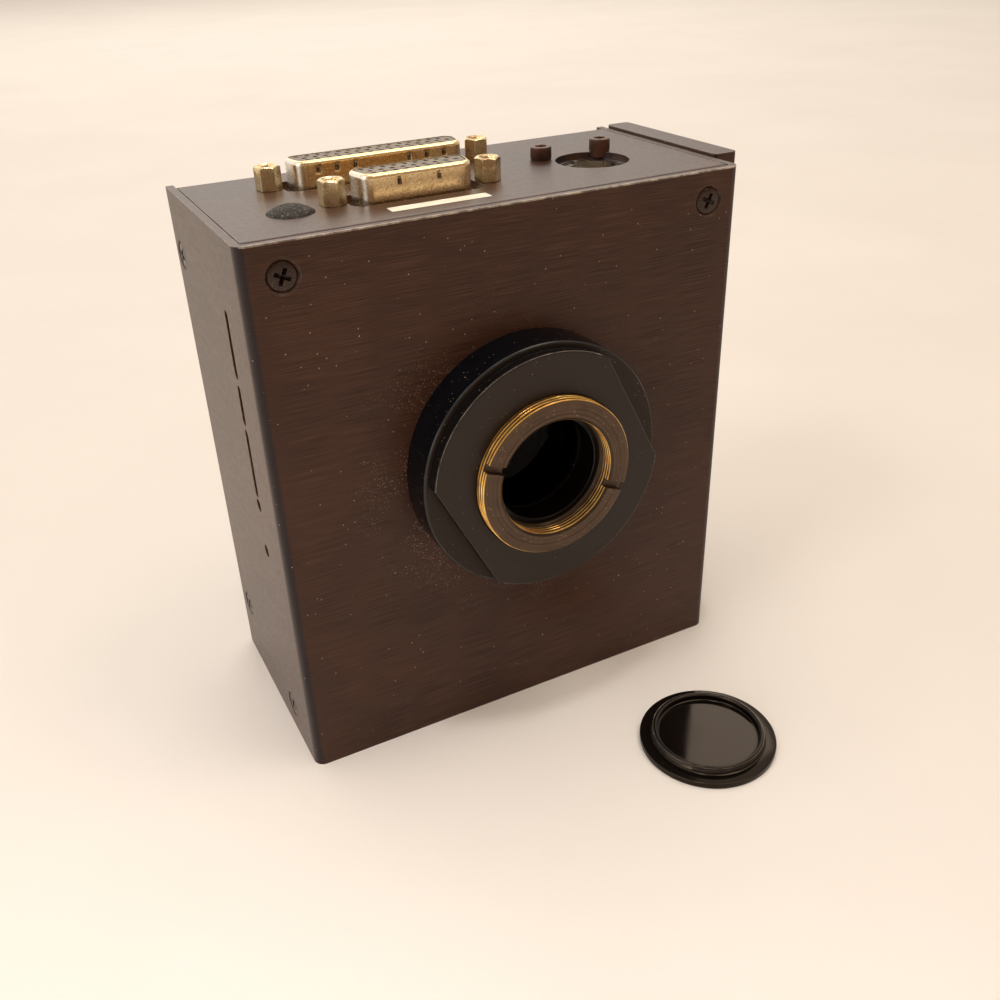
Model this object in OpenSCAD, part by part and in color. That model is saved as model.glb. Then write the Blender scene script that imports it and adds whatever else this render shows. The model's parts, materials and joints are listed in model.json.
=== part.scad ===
// Cooled astronomy camera: a two-piece sheet case with a C-mount lens port, two high-density
// D-sub ports on top, a cooled sensor chamber inside and a heat-spreading side plate.
// Origin: centre of the case's underside. +X is right, +Y is away from the lens, +Z is up.

/* [Case] */
// Width of the case, left wall to right wall
case_w = 107.6; // [104:0.1:112]
// Depth of the case, front wall to rear wall
case_d = 53.7; // [53.4:0.1:60]
// Height of the case
case_h = 118.8; // [116:0.1:126]
// Thickness of the case sheet
sheet = 1.6; // [1.4:0.05:1.6]
// Outside radius of the bends beside the front wall
bend_r = 2.4; // [2:0.1:4]

/* [Side plate] */
// Thickness of the solid plate on the right wall
plate_t = 6.1; // [5:0.1:8]
// Depth of the side plate
plate_d = 43; // [36:0.5:43.5]
// Height of the side plate
plate_h = 119.4; // [110:0.1:119.6]
// Thickness of the thermal pad behind the side plate
pad_t = 0.4; // [0.3:0.1:1]

/* [Lens port] */
// Distance of the lens axis to the right of the case centre
lens_x = 1.0; // [-4:0.1:4]
// Height of the lens axis above the underside
lens_z = 65.9; // [62:0.1:70]
// Radius of the mount flange
flange_r = 27.35; // [26.8:0.05:28]
// How far the mount flange stands in front of the case
flange_h = 8.7; // [8:0.1:10]
// Outside radius of the lock nut
nut_r = 26.4; // [25:0.1:26.6]
// Distance from the lens axis to each flat of the lock nut
nut_flat = 22.07; // [20:0.01:24]
// Thickness of the lock nut
nut_t = 3.05; // [2.5:0.05:3.2]
// Outside radius of the threaded lens ring
ring_r = 17.2; // [16.8:0.05:17.4]
// How far the lens ring stands in front of the case
ring_front = 14.45; // [14:0.05:15]
// Radius of the lens thread, nominal one inch by 32 per inch
lens_thread_r = 12.7; // [12.7:0.1:12.7]

/* [Top ports] */
// Centre line of the 44-way port, to the right of the case centre
data_x = -12.6; // [-14:0.1:-10]
// Centre line of the 44-way port, behind the case centre
data_y = 11.05; // [11:0.05:12]
// Distance between the centre lines of the two D-sub ports
port_pitch = 19.05; // [18:0.05:19.05]
// How far the D-sub shells stand above the case
shell_rise = 5.3; // [4:0.1:6]
// How far the jackscrews stand above the case
jack_rise = 4.9; // [4:0.1:6]
// Centre of the round power socket, to the right of the case centre
socket_x = 31.6; // [30:0.1:33]
// Centre of the round power socket, behind the case centre
socket_y = -3.95; // [-5:0.05:-3]

/* [Dust cap] */
// Radius of the dust cap
cap_r = 15.4; // [14.5:0.1:16]
// Where the dust cap lies, to the right of the case centre
cap_x = 27.7; // [26:0.1:40]
// Where the dust cap lies, in front of the case centre
cap_y = -62.75; // [-75:0.05:-60]

/* [Hidden] */

$fn = 96;
front = -case_d / 2;
rear = case_d / 2;
left = -case_w / 2;
right = case_w / 2;
// Overcut that keeps a cut from ending on a surface
cut = 0.5;
// Radial clearance of parts that turn in one another
run = 0.05;
// Gap between the cover and the chassis
gap = 0.2;

// Chassis
chassis_w = case_w - 2 * sheet - 2 * gap;
chassis_front = front + sheet + gap;
chassis_rear = rear - 0.2;
rear_bend_r = 3.0;
front_bend_r = 1.4;
front_flange_h = 12;
side_flange_d = 11.5;
side_tab = [14, 13];

// Case screws: countersunk, 3 mm thread
head_r = 3.1;
head_seat_r = 3.3;
thread_r = 1.5;
clear_r = 1.7;
nut_body_r = 2.9;
nut_body_h = 2.4;
front_screw_z = case_h - 6.3;
front_screw_x = [left + 7.8, right - 7.8];
side_screw_pos = [[front + 48.8, 105.4], [front + 47.5, 15.8], [front + 15, 7.2]];

// Wall slots and holes of the left wall: height of each end, and the round holes
slot_y = front + 14.9;
slot_w = 2.2;
slot_spans = [[89.4, 103.5], [79.4, 88.2], [63.1, 78.6]];
wall_hole_r = 1.5;
wall_hole_z = [61.2, 49.9];

// Lens stack, as distances in front of the front wall
shelf_front = 2.6;
shelf_back = 1.6;
aperture_r = 12.0;
pocket_r = 15.0;
spigot_r = 21.5;
ring_back = 4.6;
ring_bore_r = 11.4;
lens_thread_l = 4.5;
thread_pitch = 25.4 / 32;
nut_front = flange_h + nut_t;
nut_angle = 26.75;
ring_slot_angle = -21.9;
ring_slot = [1.6, 1.3];

// Sensor chamber, as distances behind the front wall
chamber_r = 29;
chamber_bore_r = 19;
chamber_back = 23;
chamber_wall = 3;
chamber_screw_r = 24.4;
chamber_screw_angles = [45, 135, 225, 315];
seal_r = 20.55;
seal_t = 0.6;
image_plane = 3.08;
package = [20.2, 15.4];
package_front = 2.6;
package_back = 5.6;
board_front = 7.2;
board_t = 1.6;
pin_row = 7.0;
pin_pitch = 1.78;
cooler = 20;
cold_plate_front = 9.8;
cooler_front = 12.2;
cooler_plate_t = 0.7;
pellet_h = 2.2;
pellet = 1.8;
pellet_n = 6;
hot_front = cooler_front + 2 * cooler_plate_t + pellet_h;
spreader_front = chamber_back + 0.4;
spreader_t = 5;
spreader_reach = 14.6;
spreader_z = [-10.6, 14];
lead_y = -13.4;
lead_pitch = 2.54;
lead_n = 8;

// Circuit boards, as distances behind the front wall
main_front = 33;
power_front = 42.5;
pcb_t = 1.6;
pcb_w = 91;
pcb_h = 90;
pcb_z = 8;
pcb_hole = [40, 14, 92];
port_board_z = 104;
port_board_size = [70, 37];

// D-sub ports: a size is its shell length, flange length, screw spacing, pin rows, dimples a side
data_port = [38.4, 53.1, 47.04, [15, 15, 14], [-14, -10, -6, 6, 10, 14]];
power_port = [24.7, 39.2, 33.32, [9, 9, 8], [-4.2, 4.2]];
port_xy = [[data_x, data_y], [data_x, data_y - port_pitch]];
shell_d = 7.9;
shell_t = 0.4;
shell_corner = 2.6;
shell_taper = 10;
port_flange = [12.5, 0.8];
contact_pitch = 2.29;
row_pitch = 1.98;
contact_r = 0.5;
contact_hole_r = 0.55;
tail_r = 0.3;
insert_base_z = 110.9;
jack_af = 5.0;
jack_thread_r = 1.42;
// How far each jackscrew is turned, port by port, left then right
jack_turn = [[41, 1], [34, 41]];
under = case_h - sheet;
shell_top = case_h + shell_rise;

// Round socket
socket_r = 7.2;
socket_hole_r = 8.07;
socket_top = under + 0.1;
socket_bottom = 104.5;
socket_floor = 111.5;
socket_wall = 0.8;
socket_pin_r = 0.75;
socket_tab = [3.0, 1.3];
socket_tab_angle = 49;
socket_key = [2.2, 1.3];
socket_key_angle = 120;
socket_screw_x = [socket_x - 8.9, socket_x + 6.2];
socket_screw_y = front + 29.8;
cap_screw_r = 2.33;
cap_screw_h = 2.85;
m3_head_r = 2.75;
m3_head_h = 3.0;
small_thread_r = 1.42;
bracket_t = 2.4;

// Plug in the top
plug_pos = [left + 15.6, front + 17.3];
plug_r = 5.35;
plug_rise = 1.5;
plug_stem_r = 3.0;
plug_barb_r = 3.6;

// Dust cap
cap_t = 1.4;
cap_boss_r = 12.58;
cap_boss_h = 2.6;
cap_floor = 1.3;
cap_recess_r = 11.0;

// Side plate
plate_front = front + 9.2;
plate_edge = 1.2;
plate_sink = 3.2;
plate_screw_pos = [[front + 14, 48], [front + 34, 48], [front + 14, 84], [front + 34, 84]];
tripod_thread_r = 3.175;

black = [0.11, 0.09, 0.08];
gloss_black = [0.03, 0.03, 0.035];
gold = [0.75, 0.6, 0.33];
bronze = [0.42, 0.3, 0.18];
steel = [0.7, 0.7, 0.72];
screw_black = [0.08, 0.07, 0.07];
board_green = [0.1, 0.35, 0.2];
chip_black = [0.07, 0.07, 0.08];
ceramic_white = [0.9, 0.9, 0.88];
copper = [0.75, 0.42, 0.28];
aluminium = [0.75, 0.76, 0.78];

// Local +Z points out of the lens port, local X and Y are the row's X and Z
module lens_axis() {
    translate([lens_x, front, lens_z]) rotate([90, 0, 0]) children();
}

// A tube from z0 to z1 along local Z
module ring(z0, z1, outer, inner) {
    translate([0, 0, z0]) difference() {
        cylinder(h = z1 - z0, r = outer);
        translate([0, 0, -cut]) cylinder(h = z1 - z0 + 2 * cut, r = inner);
    }
}

// A round bar from z0 to z1 along local Z
module rod(z0, z1, r) {
    translate([0, 0, z0]) cylinder(h = z1 - z0, r = r);
}

// A box from its lowest and highest corners
module block(low, high) {
    translate(low) cube(high - low);
}

// A rectangle with round corners, centred
module round_rect(size, r) {
    union() {
        square([size[0] - 2 * r, size[1]], center = true);
        square([size[0], size[1] - 2 * r], center = true);
        for (sx = [-1, 1], sy = [-1, 1])
            translate([sx * (size[0] / 2 - r), sy * (size[1] / 2 - r)]) circle(r = r);
    }
}

// Local +Z points out of the left wall at a given depth and height
module on_left_wall(y, z) {
    translate([left, y, z]) rotate([0, -90, 0]) children();
}

// Local +Z points out of the right wall at a given depth and height
module on_right_wall(y, z) {
    translate([right, y, z]) rotate([0, 90, 0]) children();
}

// Local +Z points out of the front wall
module on_front_wall(x, z) {
    translate([x, front, z]) rotate([90, 0, 0]) children();
}

// Local +Z points out of the rear wall
module on_rear_wall(x, z) {
    translate([x, chassis_rear, z]) rotate([-90, 0, 0]) children();
}

// Every place with a cover screw into a clinch nut
module at_cover_screws() {
    for (x = front_screw_x) on_front_wall(x, front_screw_z) children();
    at_side_screws() children();
}

module at_side_screws() {
    for (p = side_screw_pos) {
        on_left_wall(p[0], p[1]) children();
        on_right_wall(p[0], p[1]) children();
    }
}

// Countersunk seat cut into a sheet whose outer face is at local z = 0
module screw_seat() {
    translate([0, 0, -sheet]) cylinder(h = sheet, r1 = clear_r, r2 = head_seat_r);
    translate([0, 0, -cut - sheet]) cylinder(h = cut + 0.01, r = clear_r);
    cylinder(h = cut, r = head_seat_r);
}

// Countersunk screw with a cross recess, its head just below local z = 0
module flat_screw(length) {
    head_top = -0.12;
    recess_w = 0.75;
    recess_l = 3.3;
    recess_deep = 1.1;
    difference() {
        union() {
            translate([0, 0, -sheet]) cylinder(h = sheet + head_top, r1 = thread_r, r2 = head_r);
            rod(-length, -sheet, thread_r);
        }
        for (turn = [20, 110])
            rotate([0, 0, turn])
                translate([-recess_l / 2, -recess_w / 2, head_top - recess_deep])
                    cube([recess_l, recess_w, recess_deep + cut]);
    }
}

// Socket-head screw standing on local z = 0, its shank going down
module socket_screw(r, h, shank_r, length) {
    hex_r = r * 0.56;
    difference() {
        union() {
            rod(0, h - 0.3, r);
            translate([0, 0, h - 0.3]) cylinder(h = 0.3, r1 = r, r2 = r - 0.3);
            rod(-length, 0, shank_r);
        }
        translate([0, 0, h * 0.5]) cylinder(h = h, r = hex_r, $fn = 6);
    }
}

// ---------- Case ----------

module cover_outline(r, inset) {
    w = case_w - 2 * inset;
    translate([-w / 2 + r, front + inset + r]) circle(r = r);
    translate([w / 2 - r, front + inset + r]) circle(r = r);
    translate([-w / 2 + r, front + inset]) square([w - 2 * r, case_d]);
    translate([-w / 2, front + inset + r]) square([w, case_d - r + cut]);
}

module case_cover() {
    color(black) difference() {
        intersection() {
            linear_extrude(case_h) difference() {
                cover_outline(bend_r, 0);
                cover_outline(bend_r - sheet, sheet);
            }
            block([left - cut, front - cut, -cut], [right + cut, rear, case_h + cut]);
        }
        lens_axis() rod(-sheet - cut, cut, spigot_r + gap);
        lens_axis() for (a = chamber_screw_angles)
            rotate([0, 0, a]) translate([chamber_screw_r, 0, 0]) rod(-sheet - cut, cut, clear_r);
        at_cover_screws() screw_seat();
        for (p = plate_screw_pos) on_right_wall(p[0], p[1]) rod(-sheet - cut, cut, clear_r);
        for (s = slot_spans) wall_slot(s[0], s[1]);
        for (z = wall_hole_z) on_left_wall(slot_y, z) rod(-sheet - cut, cut, wall_hole_r);
    }
}

module wall_slot(z0, z1) {
    r = slot_w / 2;
    on_left_wall(slot_y, z0 + r) rod(-sheet - cut, cut, r);
    on_left_wall(slot_y, z1 - r) rod(-sheet - cut, cut, r);
    block([left - cut, slot_y - r, z0 + r], [left + sheet + cut, slot_y + r, z1 - r]);
}

// Side outline of the chassis: the rear wall with round bends into the top and the bottom.
// It starts in front of the chassis, so that the cover's room trims its front edge
module chassis_outline(inset) {
    r = rear_bend_r - inset;
    y1 = chassis_rear - inset;
    z0 = inset;
    z1 = case_h - inset;
    translate([y1 - r, z0 + r]) circle(r = r);
    translate([y1 - r, z1 - r]) circle(r = r);
    translate([chassis_front - cut, z0]) square([y1 - r - chassis_front + cut, z1 - z0]);
    translate([chassis_front - cut, z0 + r]) square([y1 - chassis_front + cut, z1 - z0 - 2 * r]);
}

// The room inside the cover, less the gap all round, with the top's bend beside the front wall
module chassis_room() {
    inset = sheet + gap;
    r = front_bend_r;
    intersection() {
        translate([0, 0, -cut]) linear_extrude(case_h + 2 * cut) cover_outline(bend_r - inset, inset);
        translate([left, 0, 0]) rotate([90, 0, 90]) linear_extrude(case_w) union() {
            translate([chassis_front + r, case_h - r]) circle(r = r);
            translate([chassis_front + r, -cut]) square([case_d, case_h + 2 * cut]);
            translate([chassis_front - cut, -cut]) square([case_d, case_h - r + cut]);
        }
    }
}

module chassis() {
    half = chassis_w / 2;
    top_z = case_h - sheet;
    color(black) difference() {
        intersection() {
            union() {
                translate([-half - cut, 0, 0]) rotate([90, 0, 90])
                    linear_extrude(chassis_w + 2 * cut) difference() {
                        chassis_outline(0);
                        chassis_outline(sheet);
                    }
                block([-half - cut, chassis_front - cut, case_h - front_flange_h],
                      [half + cut, chassis_front + sheet, top_z + 0.01]);
                for (side = [0, 1]) mirror([side, 0, 0]) {
                    block([-half - cut, chassis_rear - side_flange_d, 4],
                          [-half + sheet, chassis_rear - sheet + 0.01, case_h - 4]);
                    block([-half - cut, front + 15 - side_tab[0] / 2, sheet - 0.01],
                          [-half + sheet, front + 15 + side_tab[0] / 2, side_tab[1]]);
                }
            }
            chassis_room();
        }
        at_cover_screws() rod(-3 * sheet, -sheet, clear_r);
        for (x = [-1, 1], z = [pcb_hole[1], pcb_hole[2]])
            on_rear_wall(x * pcb_hole[0], z) screw_seat();
        port_cutout(port_xy[0], data_port);
        port_cutout(port_xy[1], power_port);
        translate([socket_x, socket_y, 0]) rod(top_z - cut, case_h + cut, socket_hole_r);
        for (x = socket_screw_x)
            translate([x, socket_screw_y, 0]) rod(top_z - cut, case_h + cut, clear_r);
        translate([plug_pos[0], plug_pos[1], 0]) rod(top_z - cut, case_h + cut, plug_stem_r + 0.1);
    }
}

// Opening in the top for one D-sub shell and its two jackscrews
module port_cutout(pos, port) {
    translate([pos[0], pos[1], case_h - sheet - cut]) {
        linear_extrude(sheet + 2 * cut)
            round_rect([port[0] + 3.6, shell_d + 2.2], shell_corner);
        for (s = [-1, 1]) translate([s * port[2] / 2, 0, 0]) cylinder(h = sheet + 2 * cut, r = clear_r);
    }
}

module side_pad() {
    color([0.3, 0.3, 0.32]) difference() {
        block([right, plate_front + 1, 0.4], [right + pad_t, plate_front + plate_d - 1, case_h - 2]);
        for (p = plate_screw_pos) on_right_wall(p[0], p[1]) rod(-cut, pad_t + cut, clear_r);
    }
}

module side_plate() {
    outer = right + pad_t + plate_t;
    color(black) difference() {
        translate([right + pad_t + plate_t / 2, plate_front + plate_d / 2, 0])
            linear_extrude(plate_h) round_rect([plate_t, plate_d], plate_edge);
        for (p = plate_screw_pos)
            translate([outer, p[0], p[1]]) rotate([0, 90, 0]) {
                rod(-plate_t - cut, cut, clear_r);
                rod(-plate_sink, cut, m3_head_r + 0.25);
            }
        translate([outer, plate_front + plate_d / 2, lens_z]) rotate([0, 90, 0])
            rod(-plate_t - cut, cut, tripod_thread_r);
    }
}

module side_plate_screws() {
    outer = right + pad_t + plate_t;
    shank = plate_t + pad_t + sheet + 4 - plate_sink;
    color(screw_black) for (p = plate_screw_pos)
        translate([outer - plate_sink, p[0], p[1]]) rotate([0, 90, 0])
            socket_screw(m3_head_r, m3_head_h, thread_r, shank);
}

module front_screws() {
    color(screw_black) for (x = front_screw_x) on_front_wall(x, front_screw_z) flat_screw(6.5);
}

module side_screws() {
    color(screw_black) at_side_screws() flat_screw(6.5);
}

module rear_screws() {
    color(screw_black) for (x = [-1, 1], z = [pcb_hole[1], pcb_hole[2]])
        on_rear_wall(x * pcb_hole[0], z) flat_screw(5.4);
}

// Round nuts pressed on the inner faces of the chassis flanges
module clinch_nuts() {
    face = -2 * sheet - gap;
    color(steel) at_cover_screws() ring(face - nut_body_h, face, nut_body_r, thread_r + 0.03);
}

// ---------- Lens port ----------

module mount_flange() {
    edge = 0.4;
    color(gloss_black) lens_axis() difference() {
        union() {
            rod(0, flange_h - edge, flange_r);
            translate([0, 0, flange_h - edge]) cylinder(h = edge, r1 = flange_r, r2 = flange_r - edge);
            rod(-sheet, 0.01, spigot_r);
        }
        rod(shelf_front, flange_h + cut, ring_r + run);
        rod(0, shelf_front + 0.01, aperture_r);
        rod(-sheet - cut, shelf_back, pocket_r);
        for (a = chamber_screw_angles)
            rotate([0, 0, a]) translate([chamber_screw_r, 0, 0]) rod(-cut, 6, thread_r + 0.03);
    }
}

module lock_nut() {
    edge = 0.3;
    color(black) lens_axis() difference() {
        intersection() {
            union() {
                rod(flange_h + 0.05, nut_front - edge, nut_r);
                translate([0, 0, nut_front - edge]) cylinder(h = edge, r1 = nut_r, r2 = nut_r - edge);
            }
            rotate([0, 0, nut_angle])
                block([-nut_flat, -nut_r - cut, 0], [nut_flat, nut_r + cut, nut_front + cut]);
        }
        rod(flange_h - cut, nut_front + cut, ring_r + run);
    }
}

module c_mount_ring() {
    groove = 0.42;
    edge = 0.3;
    color(bronze) lens_axis() difference() {
        union() {
            rod(ring_back, ring_front - edge, ring_r);
            translate([0, 0, ring_front - edge]) cylinder(h = edge, r1 = ring_r, r2 = ring_r - edge);
        }
        rod(ring_front - lens_thread_l, ring_front + cut, lens_thread_r);
        rod(ring_back - cut, ring_front, ring_bore_r);
        for (k = [0 : 2])
            rotate_extrude() translate([0, nut_front + 0.35 + k * thread_pitch])
                polygon([[ring_r + 0.1, -thread_pitch * 0.42], [ring_r - groove, 0],
                         [ring_r + 0.1, thread_pitch * 0.42]]);
        rotate([0, 0, ring_slot_angle])
            block([-ring_r - cut, -ring_slot[0] / 2, ring_front - ring_slot[1]],
                  [ring_r + cut, ring_slot[0] / 2, ring_front + cut]);
    }
}

module window_gasket() {
    color(chip_black) lens_axis() ring(1.2, shelf_back, 14.9, 12.3);
}

module optical_window() {
    color([0.7, 0.85, 0.9, 0.5]) lens_axis() rod(0.2, 1.2, 14.8);
}

module window_retainer() {
    color(chip_black) lens_axis() difference() {
        ring(-1.4, 0.2, pocket_r - run, 12.6);
        block([-pocket_r - cut, -0.8, -1.4 - cut], [pocket_r + cut, 0.8, -0.6]);
    }
}

// ---------- Sensor chamber ----------

module sensor_chamber() {
    lead_w = lead_n * lead_pitch;
    color(aluminium) lens_axis() difference() {
        rod(-chamber_back, -sheet, chamber_r);
        rod(-chamber_back + chamber_wall, -sheet + cut, chamber_bore_r);
        rotate_extrude() translate([seal_r, -sheet - seal_t])
            square([1.5, 2 * seal_t + 0.2], center = true);
        block([-cooler / 2 - 0.15, -cooler / 2 - 0.15, -chamber_back - cut],
              [cooler / 2 + 0.15, cooler / 2 + 0.15, -chamber_back + chamber_wall + cut]);
        block([-lead_w / 2, lead_y - 2.4, -chamber_back - cut],
              [lead_w / 2, lead_y + 2.4, -chamber_back + chamber_wall + cut]);
        for (a = chamber_screw_angles)
            rotate([0, 0, a]) translate([chamber_screw_r, 0, 0])
                rod(-chamber_back - cut, 0, clear_r);
    }
}

module chamber_seal() {
    color(chip_black) lens_axis() rotate_extrude() translate([seal_r, -sheet - seal_t])
        circle(r = seal_t);
}

module chamber_screws() {
    color(steel) lens_axis() for (a = chamber_screw_angles)
        rotate([0, 0, a]) translate([chamber_screw_r, 0, -chamber_back]) rotate([180, 0, 0])
            socket_screw(m3_head_r, m3_head_h, thread_r, chamber_back + 5.5);
}

// Two rows of sensor leads
module at_sensor_pins() {
    for (row = [-1, 1], k = [0 : 9])
        translate([(k - 4.5) * pin_pitch, row * pin_row, 0]) children();
}

module sensor_package() {
    color([0.45, 0.35, 0.3]) lens_axis() difference() {
        translate([0, 0, -package_back]) linear_extrude(package_back - package_front)
            square(package, center = true);
        translate([0, 0, -image_plane - 0.62]) linear_extrude(2) square([12, 10], center = true);
    }
}

module sensor_die() {
    color([0.3, 0.35, 0.5]) lens_axis() translate([0, 0, -image_plane - 0.62])
        linear_extrude(0.62) square([10.2, 8.3], center = true);
}

module sensor_lid() {
    color([0.7, 0.85, 0.9, 0.5]) lens_axis() translate([0, 0, -package_front])
        linear_extrude(0.7) square([17, 13.4], center = true);
}

module sensor_pins() {
    color(gold) lens_axis() at_sensor_pins() rod(-board_front - board_t - 0.5, -package_back, 0.25);
}

module sensor_board() {
    color(board_green) lens_axis() difference() {
        rod(-board_front - board_t, -board_front, chamber_bore_r - 0.5);
        block([-7, -4.8, -board_front - board_t - cut], [7, 4.8, -board_front + cut]);
        at_sensor_pins() rod(-board_front - board_t - cut, -board_front + cut, 0.3);
        at_leads() rod(-board_front - board_t - cut, -board_front + cut, 0.4);
    }
}

module cold_finger() {
    half = cooler / 2;
    color(copper) lens_axis() difference() {
        union() {
            block([-6.5, -4.5, -cold_plate_front - 0.01], [6.5, 4.5, -package_back]);
            block([-half, -half, -cooler_front], [half, half, -cold_plate_front]);
        }
        translate([half + cut, 0, -11]) rotate([0, -90, 0]) cylinder(h = 4 + cut, r = 0.8);
    }
}

module thermistor() {
    color(chip_black) lens_axis() translate([cooler / 2 - 3.9, 0, -11]) rotate([0, 90, 0]) {
        cylinder(h = 3.8, r = 0.7);
        translate([0, 0, 3.8]) cylinder(h = 1.2, r = 0.5);
    }
}

module cooler_plates() {
    half = cooler / 2;
    color(ceramic_white) lens_axis() for (z = [-cooler_front, -hot_front + cooler_plate_t])
        block([-half, -half, z - cooler_plate_t], [half, half, z]);
}

module cooler_pellets() {
    pitch = (cooler - pellet) / (pellet_n - 1) * 0.92;
    color([0.35, 0.35, 0.38]) lens_axis() for (i = [0 : pellet_n - 1], j = [0 : pellet_n - 1])
        translate([(i - (pellet_n - 1) / 2) * pitch, (j - (pellet_n - 1) / 2) * pitch,
                   -hot_front + cooler_plate_t])
            linear_extrude(pellet_h) square(pellet, center = true);
}

module at_block_screws() {
    for (s = [-1, 1]) translate([s * 6, 0, 0]) children();
}

module hot_block() {
    half = cooler / 2;
    color(copper) lens_axis() difference() {
        block([-half, -half, -spreader_front], [half, half, -hot_front]);
        at_block_screws() rod(-spreader_front - cut, -hot_front - 2, thread_r + 0.03);
    }
}

// Flat bar behind the hot block, turned forward along the right wall
module heat_spreader() {
    bar_back = front + spreader_front + spreader_t;
    wall_x = right - sheet;
    color(aluminium) difference() {
        union() {
            block([lens_x - spreader_reach, front + spreader_front, lens_z + spreader_z[0]],
                  [wall_x, bar_back, lens_z + spreader_z[1]]);
            block([wall_x - 5, front + 8, 42], [wall_x, front + 40, 90]);
        }
        lens_axis() at_block_screws()
            rod(-spreader_front - spreader_t - cut, -spreader_front + cut, clear_r);
        for (p = plate_screw_pos) on_right_wall(p[0], p[1]) rod(-sheet - 5 - cut, 0, thread_r + 0.03);
    }
}

module hot_block_screws() {
    color(steel) lens_axis() at_block_screws()
        translate([0, 0, -spreader_front - spreader_t]) rotate([180, 0, 0])
            socket_screw(m3_head_r, m3_head_h, thread_r, spreader_t + 5);
}

module at_leads() {
    for (row = [-0.5, 0.5], k = [0 : lead_n - 1])
        translate([(k - (lead_n - 1) / 2) * lead_pitch, lead_y + row * lead_pitch, 0]) children();
}

module feedthrough() {
    lead_w = lead_n * lead_pitch - 0.1;
    color([0.25, 0.2, 0.15]) lens_axis() difference() {
        block([-lead_w / 2, lead_y - 2.35, -chamber_back],
              [lead_w / 2, lead_y + 2.35, -chamber_back + chamber_wall]);
        at_leads() rod(-chamber_back - cut, -chamber_back + chamber_wall + cut, 0.33);
    }
}

module feedthrough_pins() {
    color(gold) lens_axis() at_leads() rod(-chamber_back - 5, -board_front - 0.2, 0.32);
}

// Flat cable from the feedthrough, over the lower edge of the spreader, to the main board
module signal_cable() {
    w = 17;
    plug_z = lens_z + lead_y;
    plug_back = front + chamber_back + 0.6;
    color([0.6, 0.6, 0.58]) {
        difference() {
            block([lens_x - 10.2, plug_back, plug_z - 2.5],
                  [lens_x + 10.2, plug_back + 5, plug_z + 1.05]);
            lens_axis() at_leads() rod(-chamber_back - 5.1, -chamber_back, 0.36);
        }
    }
    color([0.6, 0.6, 0.58]) {
        block([lens_x - w / 2, plug_back + 1.5, plug_z - 13],
              [lens_x + w / 2, plug_back + 2.4, plug_z - 2.5]);
        block([lens_x - w / 2, plug_back + 1.5, plug_z - 13.9],
              [lens_x + w / 2, front + main_front, plug_z - 13]);
    }
}

// ---------- Boards ----------

module at_board_screws() {
    for (x = [-1, 1], z = [pcb_hole[1], pcb_hole[2]])
        translate([x * pcb_hole[0], 0, z]) children();
}

module board(y) {
    color(board_green) difference() {
        block([-pcb_w / 2, front + y, pcb_z], [pcb_w / 2, front + y + pcb_t, pcb_z + pcb_h]);
        at_board_screws() translate([0, front + y + pcb_t / 2, 0]) rotate([90, 0, 0])
            cylinder(h = pcb_t + 2 * cut, r = clear_r, center = true);
    }
}

module main_board() {
    board(main_front);
}

module power_board() {
    board(power_front);
}

// A chip on the front of a board whose front face is at depth y
module chip(x, z, w, h, t, y) {
    block([x - w / 2, front + y - t, z - h / 2], [x + w / 2, front + y, z + h / 2]);
}

module main_board_chips() {
    color(chip_black) {
        chip(-24, 70, 20, 20, 1.6, main_front);
        chip(-30, 38, 12, 20, 1.4, main_front);
        chip(-12, 28, 14, 10, 1.4, main_front);
        chip(26, 26, 12, 8, 2.2, main_front);
        chip(34, 42, 8, 8, 1.4, main_front);
    }
}

// Coils, capacitors and a driver chip of the cooler supply
module power_board_parts() {
    color(chip_black) {
        for (x = [-28, -8]) translate([x, front + power_front, 60]) rotate([90, 0, 0])
            ring(0, 5, 6, 2.4);
        for (x = [12, 22, 32], z = [40, 70]) translate([x, front + power_front, z])
            rotate([90, 0, 0]) rod(0, 6, 3.5);
        chip(-18, 32, 14, 10, 2, power_front);
    }
}

module board_standoffs() {
    behind = chassis_rear - sheet;
    color(steel) at_board_screws() {
        hex_sleeve(front + power_front + pcb_t, behind);
        hex_sleeve(front + main_front + pcb_t, front + power_front);
    }
}

module hex_sleeve(y0, y1) {
    translate([0, y1, 0]) rotate([90, 0, 0]) difference() {
        cylinder(h = y1 - y0, r = 3.1, $fn = 6);
        translate([0, 0, -cut]) cylinder(h = y1 - y0 + 2 * cut, r = thread_r + 0.03);
    }
}

module board_screws() {
    color(steel) at_board_screws() translate([0, front + main_front, 0]) rotate([90, 0, 0])
        socket_screw(m3_head_r, 2.2, thread_r, pcb_t + 5);
}

module board_header() {
    color(chip_black) block([-24, front + main_front - 5, pcb_z + pcb_h - 8],
                            [12, front + main_front, port_board_z]);
}

// Horizontal board under the top that carries both D-sub ports
module port_board() {
    low = [data_x - port_board_size[0] / 2, front + 9.5];
    color(board_green) difference() {
        block([low[0], low[1], port_board_z],
              [low[0] + port_board_size[0], low[1] + port_board_size[1], port_board_z + pcb_t]);
        at_contacts(0) rod(port_board_z - cut, port_board_z + pcb_t + cut, 0.4);
        at_contacts(1) rod(port_board_z - cut, port_board_z + pcb_t + cut, 0.4);
    }
}

// ---------- D-sub ports ----------

// D outline, its wide side towards +Y
module d_outline(length, inset) {
    half_y = shell_d / 2 - shell_corner;
    half_x = length / 2 - shell_corner;
    lean = 2 * half_y * tan(shell_taper);
    hull() for (side = [-1, 1]) {
        translate([side * half_x, half_y]) circle(r = shell_corner - inset, $fn = 32);
        translate([side * (half_x - lean), -half_y]) circle(r = shell_corner - inset, $fn = 32);
    }
}

function port_of(k) = k == 0 ? data_port : power_port;

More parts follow.
